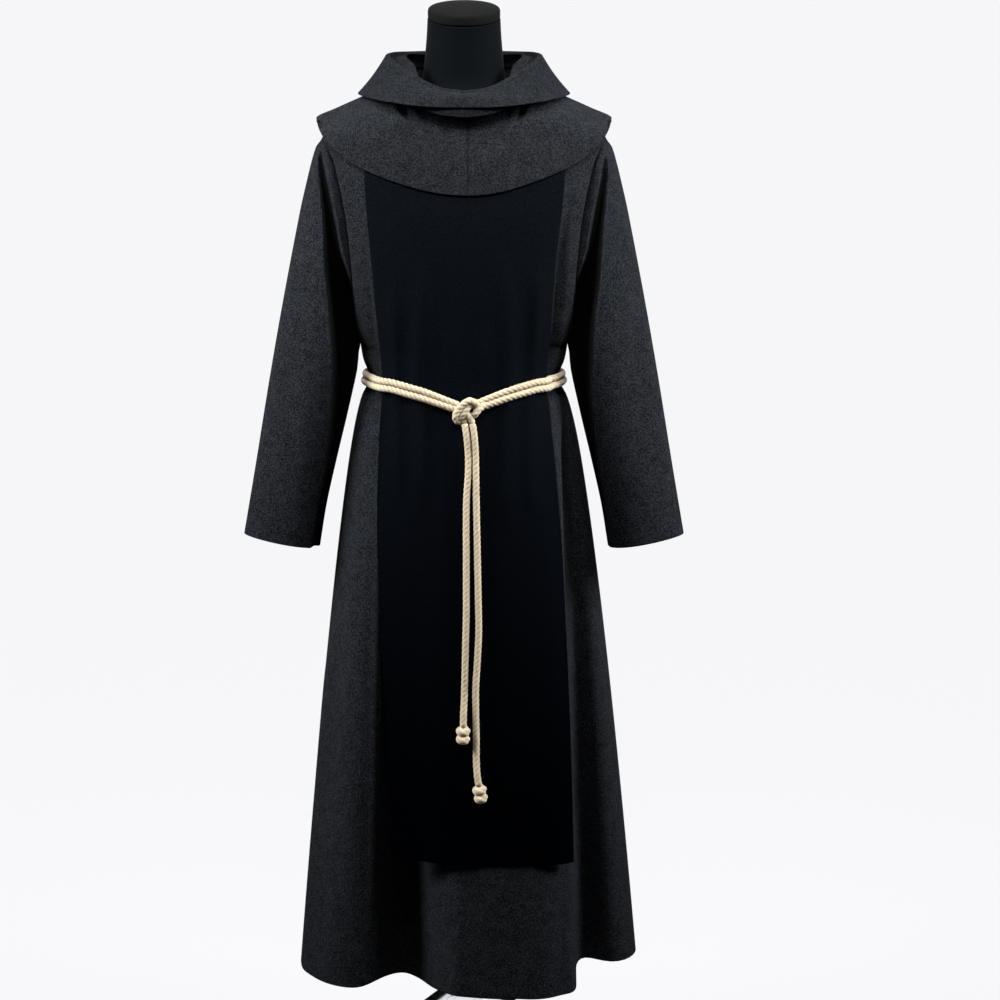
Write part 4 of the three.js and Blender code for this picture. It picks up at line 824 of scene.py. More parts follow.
def serge_material():
    """Fine worsted twill: close slanting wales, a few thick yarns, and painted shade that darkens it
    towards the hem.
    """
    settings = {
        "Roughness": 0.82,
        "Specular IOR Level": 0,
        "Sheen Weight": 0.002,
        "Sheen Roughness": 0.45,
        "Sheen Tint": (0.7, 0.8, 0.9, 1),
    }
    material, tree, cloth = surface_material("scapular serge", settings)
    place = node(tree, "ShaderNodeUVMap", (-1100, 0), uv_map="cloth")
    slant = {"Rotation": (0, 0, math.radians(52))}
    turned = node(tree, "ShaderNodeMapping", (-900, 0), slant)
    tree.links.new(place.outputs["UV"], turned.inputs["Vector"])
    wale_size = {"Scale": 320, "Distortion": 1.2, "Detail": 1}
    wales = node(tree, "ShaderNodeTexWave", (-650, -150), wale_size)
    tree.links.new(turned.outputs["Vector"], wales.inputs["Vector"])
    slubs = node(tree, "ShaderNodeTexNoise", (-650, 150), {"Scale": 260, "Detail": 3})
    tree.links.new(place.outputs["UV"], slubs.inputs["Vector"])
    body = node(tree, "ShaderNodeTexCoord", (-1100, 400))
    height = node(tree, "ShaderNodeSeparateXYZ", (-900, 400))
    tree.links.new(body.outputs["Object"], height.inputs["Vector"])
    # Painted shade: the piece's height darkens the cloth towards the hem, where less light falls, and the
    # slubs show only higher up.
    painted_falloff_heights = {"From Min": 0.45, "From Max": 1.25}
    painted_falloff = node(tree, "ShaderNodeMapRange", (-700, 400), painted_falloff_heights)
    tree.links.new(height.outputs["Z"], painted_falloff.inputs["Value"])
    shade = node(tree, "ShaderNodeMath", (-480, 250), operation="MULTIPLY")
    tree.links.new(slubs.outputs["Fac"], shade.inputs[0])
    tree.links.new(painted_falloff.outputs["Result"], shade.inputs[1])
    mix = colour_mix(tree, (-300, 100), (0.0003, 0.0006, 0.0012), (0.0056, 0.0072, 0.0096))
    tree.links.new(shade.outputs["Value"], mix.inputs["Factor"])
    tree.links.new(mix.outputs[2], cloth.inputs["Base Color"])
    add_relief(tree, cloth, wales.outputs["Fac"], 0.35, 0.0002)
    return material


scapular_serge = serge_material()


def scapular(name, strip, node_name):
    share = np.linspace(-1, 1, 81)[None, :]
    down = np.linspace(1, 0.012, 118)[:, None]
    hanging = point(*scapular_hang(strip, share, down))
    levels = np.linspace(0, 1, 16)[:, None]
    half_turns = np.linspace(0, math.pi, 40)[1:, None]
    chest = lerp(UNDERARM_Z, SHOULDER_Z, (1 - np.cos(half_turns)) / 2)
    rise = np.linspace(0, 1, 30)[1:, None]
    belt_turn = scapular_turn(strip, share, belt_z(strip["middle"]))
    waist_z = lerp(belt_z(belt_turn), UNDERARM_Z, levels)
    waist_turn = scapular_turn(strip, share, waist_z)
    chest_z = np.broadcast_to(chest, (len(chest), share.size))
    chest_turn = scapular_turn(strip, share, chest_z)
    over_turn, over_z = scapular_over_chest(strip, share, SHOULDER_Z, rise)
    turn = np.concatenate([waist_turn, chest_turn, over_turn])
    height = np.concatenate([waist_z, chest_z, over_z])
    risen = np.concatenate([np.zeros((len(levels) + len(chest), 1)), rise])
    on_tunic, normal = tunic_cloth(turn, height, strip["middle"] - 1, strip["middle"] + 1)
    lift = SCAPULAR_GAP + SHOULDER_LIFT * smooth_step(0, 0.3, risen)
    outer = np.concatenate([hanging, on_tunic + normal * lift[..., None]])
    normals = np.concatenate([grid_normals(hanging), normal])
    push = crease_push(strip["creases"], outer[..., 0], outer[..., 2])
    outer = outer + normals * push[..., None]
    inner = outer - grid_normals(outer) * SERGE
    outer, inner = trimmed_sides(outer), trimmed_sides(inner)
    panel = cloth_shell(name, outer, inner, round_rows=(0,), round_sides=True)
    panel.data.materials.append(scapular_serge)
    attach(panel, "root")
    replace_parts(panel, node_name)


scapular("scapular_front_strip", front_strip, "scapular_front")
scapular("scapular_back_strip", back_strip, "scapular_back")


# ---------------------------------------------------------------- cape
# Two curved halves of the wool, joined on the centre front and the centre back, that lie over the
# shoulders. The lower edge is turned up, and two short dents run out from under the hood's roll.

CAPE_CROWN = 0.0032
CAPE_SEAM_X = 0.0055
CAPE_SEAM_X_REACH = 0.06
CAPE_SEAM_DEPTH = 0.0016
CAPE_SEAM_DEEPER = 0.0006
CAPE_SEAM_WIDE = 0.007
SHOULDER_FLAT = 0.0055
SHOULDER_FLAT_WIDE = 0.3
SHOULDER_POINT = 0.0022
SHOULDER_POINT_WIDE = 0.10
DENT_RIM_SHARE = 0.7
DENT_RIM_AWAY = 2.0

# Each ring row gives the cape's lower edge and its neckline: how high, and how far off the tunic.
cape_rings = [
    {"turn": 0, "edge_z": 1.393, "edge_lift": 0.007, "neck_z": 1.508, "neck_lift": 0.009},
    {"turn": 0.12, "edge_z": 1.395, "edge_lift": 0.007, "neck_z": 1.512, "neck_lift": 0.009},
    {"turn": 0.25, "edge_z": 1.402, "edge_lift": 0.0074, "neck_z": 1.523, "neck_lift": 0.009},
    {"turn": 0.5, "edge_z": 1.422, "edge_lift": 0.008, "neck_z": 1.534, "neck_lift": 0.010},
    {"turn": 0.7, "edge_z": 1.441, "edge_lift": 0.009, "neck_z": 1.539, "neck_lift": 0.010},
    {"turn": 0.85, "edge_z": 1.463, "edge_lift": 0.012, "neck_z": 1.541, "neck_lift": 0.010},
    {"turn": 0.94, "edge_z": 1.481, "edge_lift": 0.016, "neck_z": 1.542, "neck_lift": 0.010},
    {"turn": 1.02, "edge_z": 1.484, "edge_lift": 0.018, "neck_z": 1.542, "neck_lift": 0.010},
    {"turn": 1.12, "edge_z": 1.472, "edge_lift": 0.015, "neck_z": 1.541, "neck_lift": 0.010},
    {"turn": 1.25, "edge_z": 1.450, "edge_lift": 0.011, "neck_z": 1.540, "neck_lift": 0.010},
    {"turn": 1.45, "edge_z": 1.424, "edge_lift": 0.009, "neck_z": 1.539, "neck_lift": 0.010},
    {"turn": 1.7, "edge_z": 1.398, "edge_lift": 0.009, "neck_z": 1.538, "neck_lift": 0.009},
    {"turn": 2, "edge_z": 1.384, "edge_lift": 0.009, "neck_z": 1.538, "neck_lift": 0.009},
]


def cape_point(turn, rise):
    """A place on the right half of the cape: rise is 0 at its lower edge and 1 at its neckline."""
    edge_z, edge_lift, neck_z, neck_lift = (
        column(cape_rings, "turn", name, turn)
        for name in ("edge_z", "edge_lift", "neck_z", "neck_lift")
    )
    lift = lerp(edge_lift, neck_lift, rise) + CAPE_CROWN * np.sin(math.pi * rise)
    sideways = np.sin(turn * QUARTER)
    lifted = unit(point(0.6 * sideways, -np.cos(turn * QUARTER), 0.3 + 0.55 * sideways))
    return tunic_point(turn, lerp(edge_z, neck_z, rise)) + lifted * np.asarray(lift)[..., None]


# Two short dents under the hood's roll, one in each half, deepest at the neckline.
cape_dents = {
    -1: {"turn": 0.408, "lean": 1.0, "wide": 0.044, "foot": 0.68, "push": -0.0085},
    1: {"turn": 0.372, "lean": 0.85, "wide": 0.036, "foot": 0.72, "push": -0.0075},
}


def cape_relief(side, turn, rise):
    dent = cape_dents[side]
    middle = dent["turn"] + dent["lean"] * (rise - 0.95)
    deep = smooth_step(dent["foot"], 0.98, rise)
    away = (turn - middle) / (dent["wide"] * (0.5 + 0.5 * deep))
    rims = DENT_RIM_SHARE * np.exp(-((np.abs(away) - DENT_RIM_AWAY) ** 2))
    relief = dent["push"] * deep * (np.exp(-(away**2)) - rims)
    over_shoulder = np.exp(-(((turn - 1) / SHOULDER_FLAT_WIDE) ** 2))
    relief = relief - SHOULDER_FLAT * over_shoulder * np.sin(math.pi * rise)
    seam_depth = CAPE_SEAM_DEPTH + CAPE_SEAM_DEEPER * np.sin(math.pi * rise)
    front_seam, back_seam = (np.exp(-(((turn - at) / CAPE_SEAM_WIDE) ** 2)) for at in (0, 2))
    return relief - seam_depth * (front_seam + back_seam)


cape_wool = wool_material("cape wool", (0.0059, 0.0064, 0.0075), (0.0345, 0.0378, 0.0438))


def cape_half(name, side, node_name):
    share = np.linspace(0, 1, 180)
    turn = lerp(2 * share, 1 - np.cos(math.pi * share), 0.8)[None, :]
    rise = np.linspace(0, 1, 50)[:, None]
    turn, rise = np.broadcast_arrays(turn, rise)
    flat = cape_point(turn, rise)
    normals = grid_normals(flat)
    normals[:, (0, -1), 0] = 0
    normals = unit(normals)
    at_shoulder = np.exp(-(((turn - 1.0) / SHOULDER_POINT_WIDE) ** 2))
    raised = SHOULDER_POINT * at_shoulder * (1 - rise) ** 2.5
    outer = flat + normals * cape_relief(side, turn, rise)[..., None]
    outer = outer + raised[..., None] * np.array([0.5, 0, 0.85])
    inner = outer - normals * WOOL
    outer, inner = (trimmed_sides(grid) * np.array([side, 1, 1]) for grid in (outer, inner))
    for grid in (outer, inner):
        near_seam = np.exp(-((grid[..., 0] / CAPE_SEAM_X_REACH) ** 2))
        grid[..., 0] += np.where(turn < 1, CAPE_SEAM_X * near_seam, 0)
    half = cloth_shell(name, outer, inner, round_rows=(0,))
    half.data.materials.append(cape_wool)
    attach(half, "root")
    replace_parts(half, node_name)


cape_half("cape_left_half", -1, "cape_left")
cape_half("cape_right_half", 1, "cape_right")


# ---------------------------------------------------------------- hood
# The hood lies down: its sides stand up a little from the cape's neckline, its face edge is
# turned out over itself as a deep roll, and its crown hangs down the back as a pouch.

HOOD_BEND_RADIUS = 0.006
HOOD_FRONT_CROWN = 0.009
HOOD_SIDE_CROWN = -0.002
HOOD_INNER_LEG = 0.026
HOOD_BACK_FOOT_OUT = 0.015
HOOD_SIDE_TURN = 1.38
INNER_FOLD_UP = 0.010
INNER_FOLD_IN = 0.022
INNER_FOLD_AT = 0.66
INNER_FOLD_WIDE = 0.17
STAND_BULGE = 0.0295
STAND_FRONT_REACH = 0.33
POUCH_SIDE_FORWARDS = 0.026
POUCH_NARROWING = 0.08
POUCH_ROUNDNESS = 2.8
POUCH_STRIP = 0.010
POUCH_CLEARANCE = 0.0026

# The roll all round from the centre front, turn 0, to the centre back, turn 2: its top, where the
# cloth turns over, and its free edge.
roll_tops = [
    {"turn": 0, "x": 0, "y": -0.100, "z": 1.552},
    {"turn": 0.25, "x": 0.037, "y": -0.096, "z": 1.557},
    {"turn": 0.5, "x": 0.073, "y": -0.076, "z": 1.572},
    {"turn": 0.75, "x": 0.102, "y": -0.040, "z": 1.588},
    {"turn": 1, "x": 0.116, "y": 0.004, "z": 1.597},
    {"turn": 1.25, "x": 0.108, "y": 0.058, "z": 1.597},
    {"turn": 1.5, "x": 0.082, "y": 0.096, "z": 1.595},
    {"turn": 1.75, "x": 0.044, "y": 0.116, "z": 1.594},
    {"turn": 2, "x": 0, "y": 0.122, "z": 1.593},
]
roll_edges = [
    {"turn": 0, "x": 0, "y": -0.131, "z": 1.530},
    {"turn": 0.25, "x": 0.056, "y": -0.127, "z": 1.531},
    {"turn": 0.5, "x": 0.116, "y": -0.098, "z": 1.536},
    {"turn": 0.75, "x": 0.151, "y": -0.050, "z": 1.539},
    {"turn": 1, "x": 0.163, "y": 0.006, "z": 1.539},
    {"turn": 1.25, "x": 0.152, "y": 0.074, "z": 1.535},
    {"turn": 1.5, "x": 0.116, "y": 0.128, "z": 1.530},
    {"turn": 1.75, "x": 0.062, "y": 0.153, "z": 1.526},
    {"turn": 2, "x": 0, "y": 0.161, "z": 1.524},
]

# The pouch on the centre back, from the roll down its outside and up again against the cape.
pouch_profile = [
    {"along": 0, "y": 0.133, "z": 1.567},
    {"along": 0.1, "y": 0.143, "z": 1.536},
    {"along": 0.22, "y": 0.154, "z": 1.490},
    {"along": 0.34, "y": 0.162, "z": 1.430},
    {"along": 0.45, "y": 0.161, "z": 1.372},
    {"along": 0.52, "y": 0.154, "z": 1.340},
    {"along": 0.56, "y": 0.146, "z": 1.332},
    {"along": 0.6, "y": 0.140, "z": 1.342},
    {"along": 0.7, "y": 0.139, "z": 1.390},
    {"along": 0.82, "y": 0.134, "z": 1.450},
    {"along": 0.92, "y": 0.121, "z": 1.505},
    {"along": 1, "y": 0.104, "z": 1.540},
]


def roll_place(table, turn):
    """A place on the roll, all round: turns past the centre back are mirrored."""
    around = np.asarray(turn, float) % 4
    on_right = around <= 2
    folded = np.where(on_right, around, 4 - around)
    x, y, z = (column(table, "turn", axis, folded) for axis in "xyz")
    return point(np.where(on_right, x, -x), y, z)


def hood_outwards(turn):
    outwards = roll_place(roll_edges, turn) - roll_place(roll_tops, turn)
    outwards[..., 2] = 0
    return unit(outwards)


def hood_inner_foot(turn):
    around = np.asarray(turn, float) % 4
    behind = smooth_step(1.36, 1.62, np.minimum(around, 4 - around))[..., None]
    outwards = hood_outwards(turn)
    foot = roll_place(roll_tops, turn) - outwards * HOOD_BEND_RADIUS
    foot = foot + outwards * HOOD_BACK_FOOT_OUT * behind
    foot[..., 2] -= HOOD_INNER_LEG
    return foot


def turned_edge_rows(turn):
    """The roll's rows: up the inner leg with its second fold, over the bend and down to the edge."""
    top, edge = roll_place(roll_tops, turn), roll_place(roll_edges, turn)
    outwards = hood_outwards(turn)
    middle = top - np.array([0, 0, HOOD_BEND_RADIUS])
    up = np.array([0, 0, 1.0])

    def on_bend(degrees):
        across = outwards * HOOD_BEND_RADIUS * math.cos(math.radians(degrees))
        return middle + across + up * HOOD_BEND_RADIUS * math.sin(math.radians(degrees))

    foot, bend_start, leg_top = hood_inner_foot(turn), on_bend(175), on_bend(20)
    fall = edge - leg_top
    bulge = outwards * -fall[..., 2:] + up * np.hypot(fall[..., 0], fall[..., 1])[..., None]
    bulge = unit(bulge)
    crown = lerp(HOOD_FRONT_CROWN, HOOD_SIDE_CROWN, np.abs(np.sin(turn * QUARTER)))[..., None]
    folded = np.minimum(turn, 4 - turn)
    second = smooth_step(0.40, 0.80, folded) * (1 - smooth_step(1.55, 1.9, folded))
    rows = []
    for share in np.linspace(0, 1, 34):
        bell = math.exp(-(((share - INNER_FOLD_AT) / INNER_FOLD_WIDE) ** 2))
        inner_fold = (up * INNER_FOLD_UP - outwards * INNER_FOLD_IN) * (second * bell)[:, None]
        rows.append(lerp(foot, bend_start, share) + inner_fold)
    rows += [on_bend(degrees) for degrees in np.linspace(175, 20, 13)[1:]]
    for share in np.linspace(0, 1, 36)[1:]:
        rows.append(leg_top + fall * share + bulge * crown * math.sin(math.pi * share))
    return np.array(rows)


# The hood is the same wool as the cape, painted about a fifth darker: painted shade that dims the front of
# the roll.
hood_wool = wool_material("hood wool with painted shade", (0.0046, 0.0050, 0.0059), (0.0268, 0.0294, 0.0340))


def hood_sheet(piece, node_name):
    piece.data.materials.append(hood_wool)
    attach(piece, "root")
    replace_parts(piece, node_name)


roll_rows = turned_edge_rows(np.linspace(0, 4, 260, endpoint=False))
roll_inside = roll_rows + grid_normals(roll_rows, closed=True) * WOOL
roll = cloth_shell("hood_turned_edge", roll_rows, roll_inside, closed=True, round_rows=(-1,))
hood_sheet(roll, "hood_turned_edge")


def neckline_place(turn):
    around = np.asarray(turn, float) % 4
    on_right = around <= 2
    place = cape_point(np.where(on_right, around, 4 - around), np.ones(around.shape))
    place[..., 0] = np.where(on_right, place[..., 0], -place[..., 0])
    place[..., 2] += WOOL
    return place


def stand_top(turn):
    top = hood_inner_foot(turn) + hood_outwards(turn) * WOOL * 1.6
    top[..., 2] += 0.004
    return top


stand_turn = np.linspace(0.01 - HOOD_SIDE_TURN, HOOD_SIDE_TURN - 0.01, 150)
stand_rows = []
for rise in np.linspace(0, 1, 24):
    in_front = np.exp(-((stand_turn / STAND_FRONT_REACH) ** 4))
    out = STAND_BULGE * smooth_step(0, 0.22, rise) * (1 - smooth_step(0.62, 1, rise))
    lift = 0.006 * math.exp(-(((rise - 0.6) / 0.25) ** 2))
    lift = lift - 0.005 * math.exp(-(((rise - 0.14) / 0.10) ** 2))
    row = lerp(neckline_place(stand_turn), stand_top(stand_turn), rise)
    row += hood_outwards(stand_turn) * (out * in_front)[:, None]
    row[..., 2] += lift * in_front
    stand_rows.append(row)
stand_rows = np.array(stand_rows)
stand_inside = trimmed_sides(stand_rows - grid_normals(stand_rows) * WOOL)
standing = cloth_shell("hood_standing_part", trimmed_sides(stand_rows), stand_inside)
hood_sheet(standing, "hood_neck")


cape_spots = cape_point(*np.meshgrid(np.linspace(1, 2, 90), np.linspace(0, 1, 60))).reshape(-1, 3)


def back_reach(x, z):
    """How far back the cape, or the scapular below it, reaches beside each place of a grid."""
    level = np.minimum(z, SHOULDER_Z + 0.04)
    reach = np.zeros(x.shape)
    turn = 2 + np.linspace(-1, 1, 241)
    for j in range(x.shape[0]):
        ring = tunic_point(turn[None, :], level[j][:, None])
        beside = np.abs(ring[..., 0] - x[j][:, None]) < POUCH_STRIP
        reach[j] = np.where(beside, ring[..., 1], 0).max(axis=1) + SCAPULAR_GAP
        near = np.abs(cape_spots[None, :, 0] - np.abs(x[j])[:, None]) < POUCH_STRIP
        near &= cape_spots[None, :, 2] > z[j][:, None] - POUCH_STRIP / 2
        reach[j] = np.maximum(reach[j], np.where(near, cape_spots[None, :, 1], 0).max(axis=1))
    return reach + POUCH_CLEARANCE


def pouch_grid(turn, along):
    """The pouch: straight beside the neck at its sides, and deepest on the centre back."""
    straight = lerp(stand_top(turn), neckline_place(turn), along[..., None])
    away = np.abs(turn - 2) / (2 - HOOD_SIDE_TURN)
    deep = 1 - away**POUCH_ROUNDNESS
    narrow = 1 - POUCH_NARROWING * np.sin(math.pi * along)
    y, z = (column(pouch_profile, "along", name, along) for name in ("y", "z"))
    full = point(straight[..., 0] * narrow, y - POUCH_SIDE_FORWARDS * away**2, z)
    place = lerp(straight, full, deep[..., None])
    held = smooth_step(0.02, 0.12, along) * smooth_step(0, 0.1, deep)
    reach = smoothed(back_reach(place[..., 0], place[..., 2]), 3)
    place[..., 1] = np.maximum(place[..., 1], lerp(place[..., 1], reach, held))
    return place


pouch_turn = 2 - (2 - HOOD_SIDE_TURN) * np.cos(np.linspace(0, math.pi, 90))
pouch_rows = pouch_grid(*np.meshgrid(pouch_turn, np.linspace(0, 1, 110)))
pouch_inside = trimmed_sides(pouch_rows + grid_normals(pouch_rows) * WOOL)
pouch = cloth_shell("hood_pouch", trimmed_sides(pouch_rows), pouch_inside)
hood_sheet(pouch, "hood_pouch")


# ---------------------------------------------------------------- cincture
# One doubled cotton rope of three twisted strands. It goes twice round the waist, its ends pass
# through the loop at the front and hang down, and each ends in an overhand knot.

ROPE_RADIUS = 0.0052
ROPE_SIDES = 36
ROPE_LEAD = 0.023
STRAND_GROOVE = 0.26
STRAND_ROUNDNESS = 0.55
CUT_END_SHARE = 0.72
PASS_GAP = 0.0002
DRAWN_IN_REACH = 0.072
KNOT_HALF_DEPTH = 0.015
KNOT_X = 0.005
KNOT_CLEAR = 0.010
KNOT_LIFT = 0.006
TAIL_LIFT = 0.0010
TAIL_HELD_BY_KNOT = 0.007
TAIL_HELD_BY_END_KNOT = 0.0072
TAIL_SETTLES_OVER = 0.060


def rope_material():
    """Bleached cotton, gone cream: each strand shows the slanting yarns that it is laid from, and the
    grooves between strands get painted shade.
    """
    settings = {
        "Roughness": 0.85,
        "Specular IOR Level": 0.2,
        "Sheen Weight": 0.3,
        "Sheen Roughness": 0.5,
    }
    material, tree, cotton = surface_material("cotton rope", settings)
    place = node(tree, "ShaderNodeUVMap", (-1100, 0), uv_map="yarn")
    laid = node(tree, "ShaderNodeMapping", (-900, -150), {"Scale": (1, 55, 1)})
    tree.links.new(place.outputs["UV"], laid.inputs["Vector"])
    yarn_size = {"Scale": 4.5, "Distortion": 2.5, "Detail": 2, "Detail Scale": 2}
    yarns = node(tree, "ShaderNodeTexWave", (-650, -150), yarn_size, bands_direction="X")
    tree.links.new(laid.outputs["Vector"], yarns.inputs["Vector"])
    body = node(tree, "ShaderNodeTexCoord", (-1100, 300))
    speckle = node(tree, "ShaderNodeTexNoise", (-650, 200), {"Scale": 500, "Detail": 3})
    tree.links.new(body.outputs["Object"], speckle.inputs["Vector"])
    speckle_share = node(tree, "ShaderNodeMath", (-450, 250), {1: 0.6}, operation="MULTIPLY")
    tree.links.new(speckle.outputs["Fac"], speckle_share.inputs[0])
    yarn_share = node(tree, "ShaderNodeMath", (-450, 50), {1: 0.45}, operation="MULTIPLY_ADD")
    tree.links.new(yarns.outputs["Fac"], yarn_share.inputs[0])
    tree.links.new(speckle_share.outputs[0], yarn_share.inputs[2])
    mix = colour_mix(tree, (-250, 100), (0.33, 0.26, 0.16), (0.60, 0.515, 0.375))
    tree.links.new(yarn_share.outputs[0], mix.inputs["Factor"])
    # Painted shade: the grooves between the strands are painted dark brown, as the shadow that lies in
    # them.
    groove = node(tree, "ShaderNodeAttribute", (-450, 420), attribute_name="groove")
    painted_groove_shade = {7: (0.15, 0.095, 0.05, 1)}
    shaded = node(tree, "ShaderNodeMix", (-100, 250), painted_groove_shade, data_type="RGBA")
    tree.links.new(groove.outputs["Fac"], shaded.inputs["Factor"])
    tree.links.new(mix.outputs[2], shaded.inputs[6])
    tree.links.new(shaded.outputs[2], cotton.inputs["Base Color"])
    add_relief(tree, cotton, yarns.outputs["Fac"], 0.5, 0.0003)
    return material


cotton_rope = rope_material()


def smooth_route(points, step):
    """Evenly spaced points on a smooth curve through a route's points."""
    points = np.asarray(points, float)
    reach = np.linalg.norm(np.diff(points, axis=0), axis=1) ** 0.5
    along = np.concatenate([[0], np.cumsum(reach)])
    table = [{"t": t, "x": p[0], "y": p[1], "z": p[2]} for t, p in zip(along, points)]
    fine = np.linspace(0, along[-1], 40 * len(points))
    curve = np.stack([column(table, "t", axis, fine) for axis in "xyz"], axis=1)
    length = np.concatenate([[0], np.cumsum(np.linalg.norm(np.diff(curve, axis=0), axis=1))])
    even = np.linspace(0, length[-1], max(4, round(length[-1] / step)))
    return np.stack([np.interp(even, length, curve[:, axis]) for axis in range(3)], axis=1)


def route_frames(route):
    """Two directions across a route at each of its points, carried along without turning."""
    along = unit(np.gradient(route, axis=0))
    first = unit(np.cross(along[0], [0.3, 1, 0.2]))
    sides = []
    for direction in along:
        first = unit(first - direction * np.dot(first, direction))
        sides.append(first)
    sides = np.array(sides)
    return sides, np.cross(along, sides)


def twisted_rope(name, routes, start_angle=0.0, swell=1.04, groove_shade_share=0.7):
    """A three-strand rope laid along each route, as closed tubes, with a UV map for its yarns and the share
    of painted shade in its grooves.
    """
    around = np.linspace(0, 2 * math.pi, ROPE_SIDES, endpoint=False)
    points, faces, uvs, grooves = [], [], [], []
    for route in routes:
        base = sum(len(made) for made in points)
        first, second = route_frames(route)
        steps = np.linalg.norm(np.diff(route, axis=0), axis=1)
        length = np.concatenate([[0], np.cumsum(steps)])
        twist = start_angle + 2 * math.pi * length / ROPE_LEAD
        strand = np.abs(np.cos(1.5 * (around[None, :] - twist[:, None]))) ** STRAND_ROUNDNESS
        radius = ROPE_RADIUS * swell * (1 - STRAND_GROOVE * (1 - strand))
        grooves.append(groove_shade_share * (1 - smooth_step(0.25, 0.75, strand)).ravel())
        from_end = smooth_step(-0.0001, 0.002, np.minimum(length, length[-1] - length))
        radius = radius * (CUT_END_SHARE + (1 - CUT_END_SHARE) * from_end)[:, None]
        spokes = first[:, None] * np.cos(around)[:, None] + second[:, None] * np.sin(around)[:, None]
        points.append((route[:, None] + spokes * radius[..., None]).reshape(-1, 3))
        rows = len(route)
        grid = np.meshgrid(np.arange(rows - 1), np.arange(ROPE_SIDES), indexing="ij")
        j, i = (numbers.ravel() for numbers in grid)
        corners = [(j, i), (j + 1, i), (j + 1, i + 1), (j, i + 1)]
        quads = [base + row * ROPE_SIDES + place % ROPE_SIDES for row, place in corners]
        faces += np.stack(quads, axis=1).tolist()
        yarn = [np.stack([place / ROPE_SIDES, length[row]], axis=1) for row, place in corners]
        uvs.append(np.stack(yarn, axis=1).reshape(-1, 2))
        last = base + (rows - 1) * ROPE_SIDES
        faces.append([base + i for i in range(ROPE_SIDES)])
        faces.append([last + i for i in reversed(range(ROPE_SIDES))])
        uvs.append(np.zeros((2 * ROPE_SIDES, 2)))
    mesh = bpy.data.meshes.new(name)
    placed = np.concatenate(points) + np.array([0, AXIS_Y, 0])
    mesh.from_pydata(placed.tolist(), [], faces)
    layer = mesh.uv_layers.new(name="yarn")
    layer.data.foreach_set("uv", np.concatenate(uvs).astype(np.float32).ravel())
    groove = mesh.attributes.new("groove", "FLOAT", "POINT")
    groove.data.foreach_set("value", np.concatenate(grooves).astype(np.float32))
    mesh.shade_smooth()
    mesh.set_sharp_from_angle(angle=math.radians(70))
    rope = bpy.data.objects.new(name, mesh)
    bpy.context.scene.collection.objects.link(rope)
    rope.data.materials.append(cotton_rope)
    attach(rope, "root")
    return rope


# How each pass of the rope lies: how far off the scapular, and in front how far it is drawn down
# towards the knot and how far back.
upper_pass = {"above": ROPE_RADIUS + PASS_GAP, "off": 0.0006, "down": 0.0105, "back": 0}
lower_pass = {"above": -ROPE_RADIUS - PASS_GAP, "off": 0.003, "down": 0.0065, "back": 0.0015}


def waist_rope_route(turn, lie):
    """The axis of a rope round the waist, over the scapular front and back and the tunic."""
    facing = np.where(wrap_turn(turn) <= 1, 0, 2)
    share = wrap_turn(turn) - facing
    to_side = np.where(share < 0, -1.0, 1.0)
    front_edge = np.abs(scapular_turn(front_strip, to_side, belt_z(0)))
    back_edge = np.abs(scapular_turn(back_strip, to_side, belt_z(2)) - 2)
    limit = np.where(facing == 0, front_edge, back_edge)
    cover = SCAPULAR_GAP * (1 - smooth_step(limit, limit + 0.12, np.abs(share)))
    lift = cover + ROPE_RADIUS + SEAM + lie["off"]
    z = belt_z(turn) + lie["above"]
    place = tunic_cloth(turn, z)[0] + tunic_normal(turn, belt_z(turn)) * lift[..., None]
    place[..., 2] = z
    drawn_in = np.maximum(0, 1 - np.abs(place[..., 0] - KNOT_X) / DRAWN_IN_REACH) ** 1.3
    in_front = np.abs(wrap_turn(turn)) < 1
    place[..., 2] -= np.where(in_front, drawn_in * lie["down"], 0)
    place[..., 1] += np.where(in_front, drawn_in**4 * lie["back"], 0)
    return place


def waist_rope(name, lie, node_name, start_angle):
    turn = np.linspace(0, 4, 2001)
    line = waist_rope_route(turn, lie)
    clear = np.abs(line[:, 0] - KNOT_X) >= KNOT_CLEAR
    line = line[clear | ((turn > 1) & (turn < 3))]
    rope = twisted_rope(name, [smooth_route(line[::16], 0.0015)], start_angle=start_angle)
    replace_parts(rope, node_name)


waist_rope("cincture_upper_rope", upper_pass, "cincture_upper", 0.0)
waist_rope("cincture_lower_rope", lower_pass, "cincture_lower", 1.0)

# The tails' places, x and z, from where they leave the knot down to their end knots.
left_tail_points = [
    (0.001, 1.0445), (0.004, 1.026), (0.0065, 0.997), (0.0065, 0.966), (0.004, 0.930),
    (0.0034, 0.890), (0.0036, 0.845), (0.0036, 0.800), (0.0036, 0.755), (0.0026, 0.710),
    (0.0016, 0.665), (0.0006, 0.625), (-0.0006, 0.600), (-0.0012, 0.578),
]
right_tail_points = [
    (0.013, 1.0445), (0.0156, 1.026), (0.0176, 0.997), (0.0182, 0.966), (0.0188, 0.925),
    (0.0198, 0.880), (0.0208, 0.830), (0.0218, 0.780), (0.0226, 0.725), (0.0206, 0.680),
    (0.018, 0.635), (0.0182, 0.595), (0.019, 0.556), (0.019, 0.525), (0.0204, 0.503), (0.023, 0.486),
]


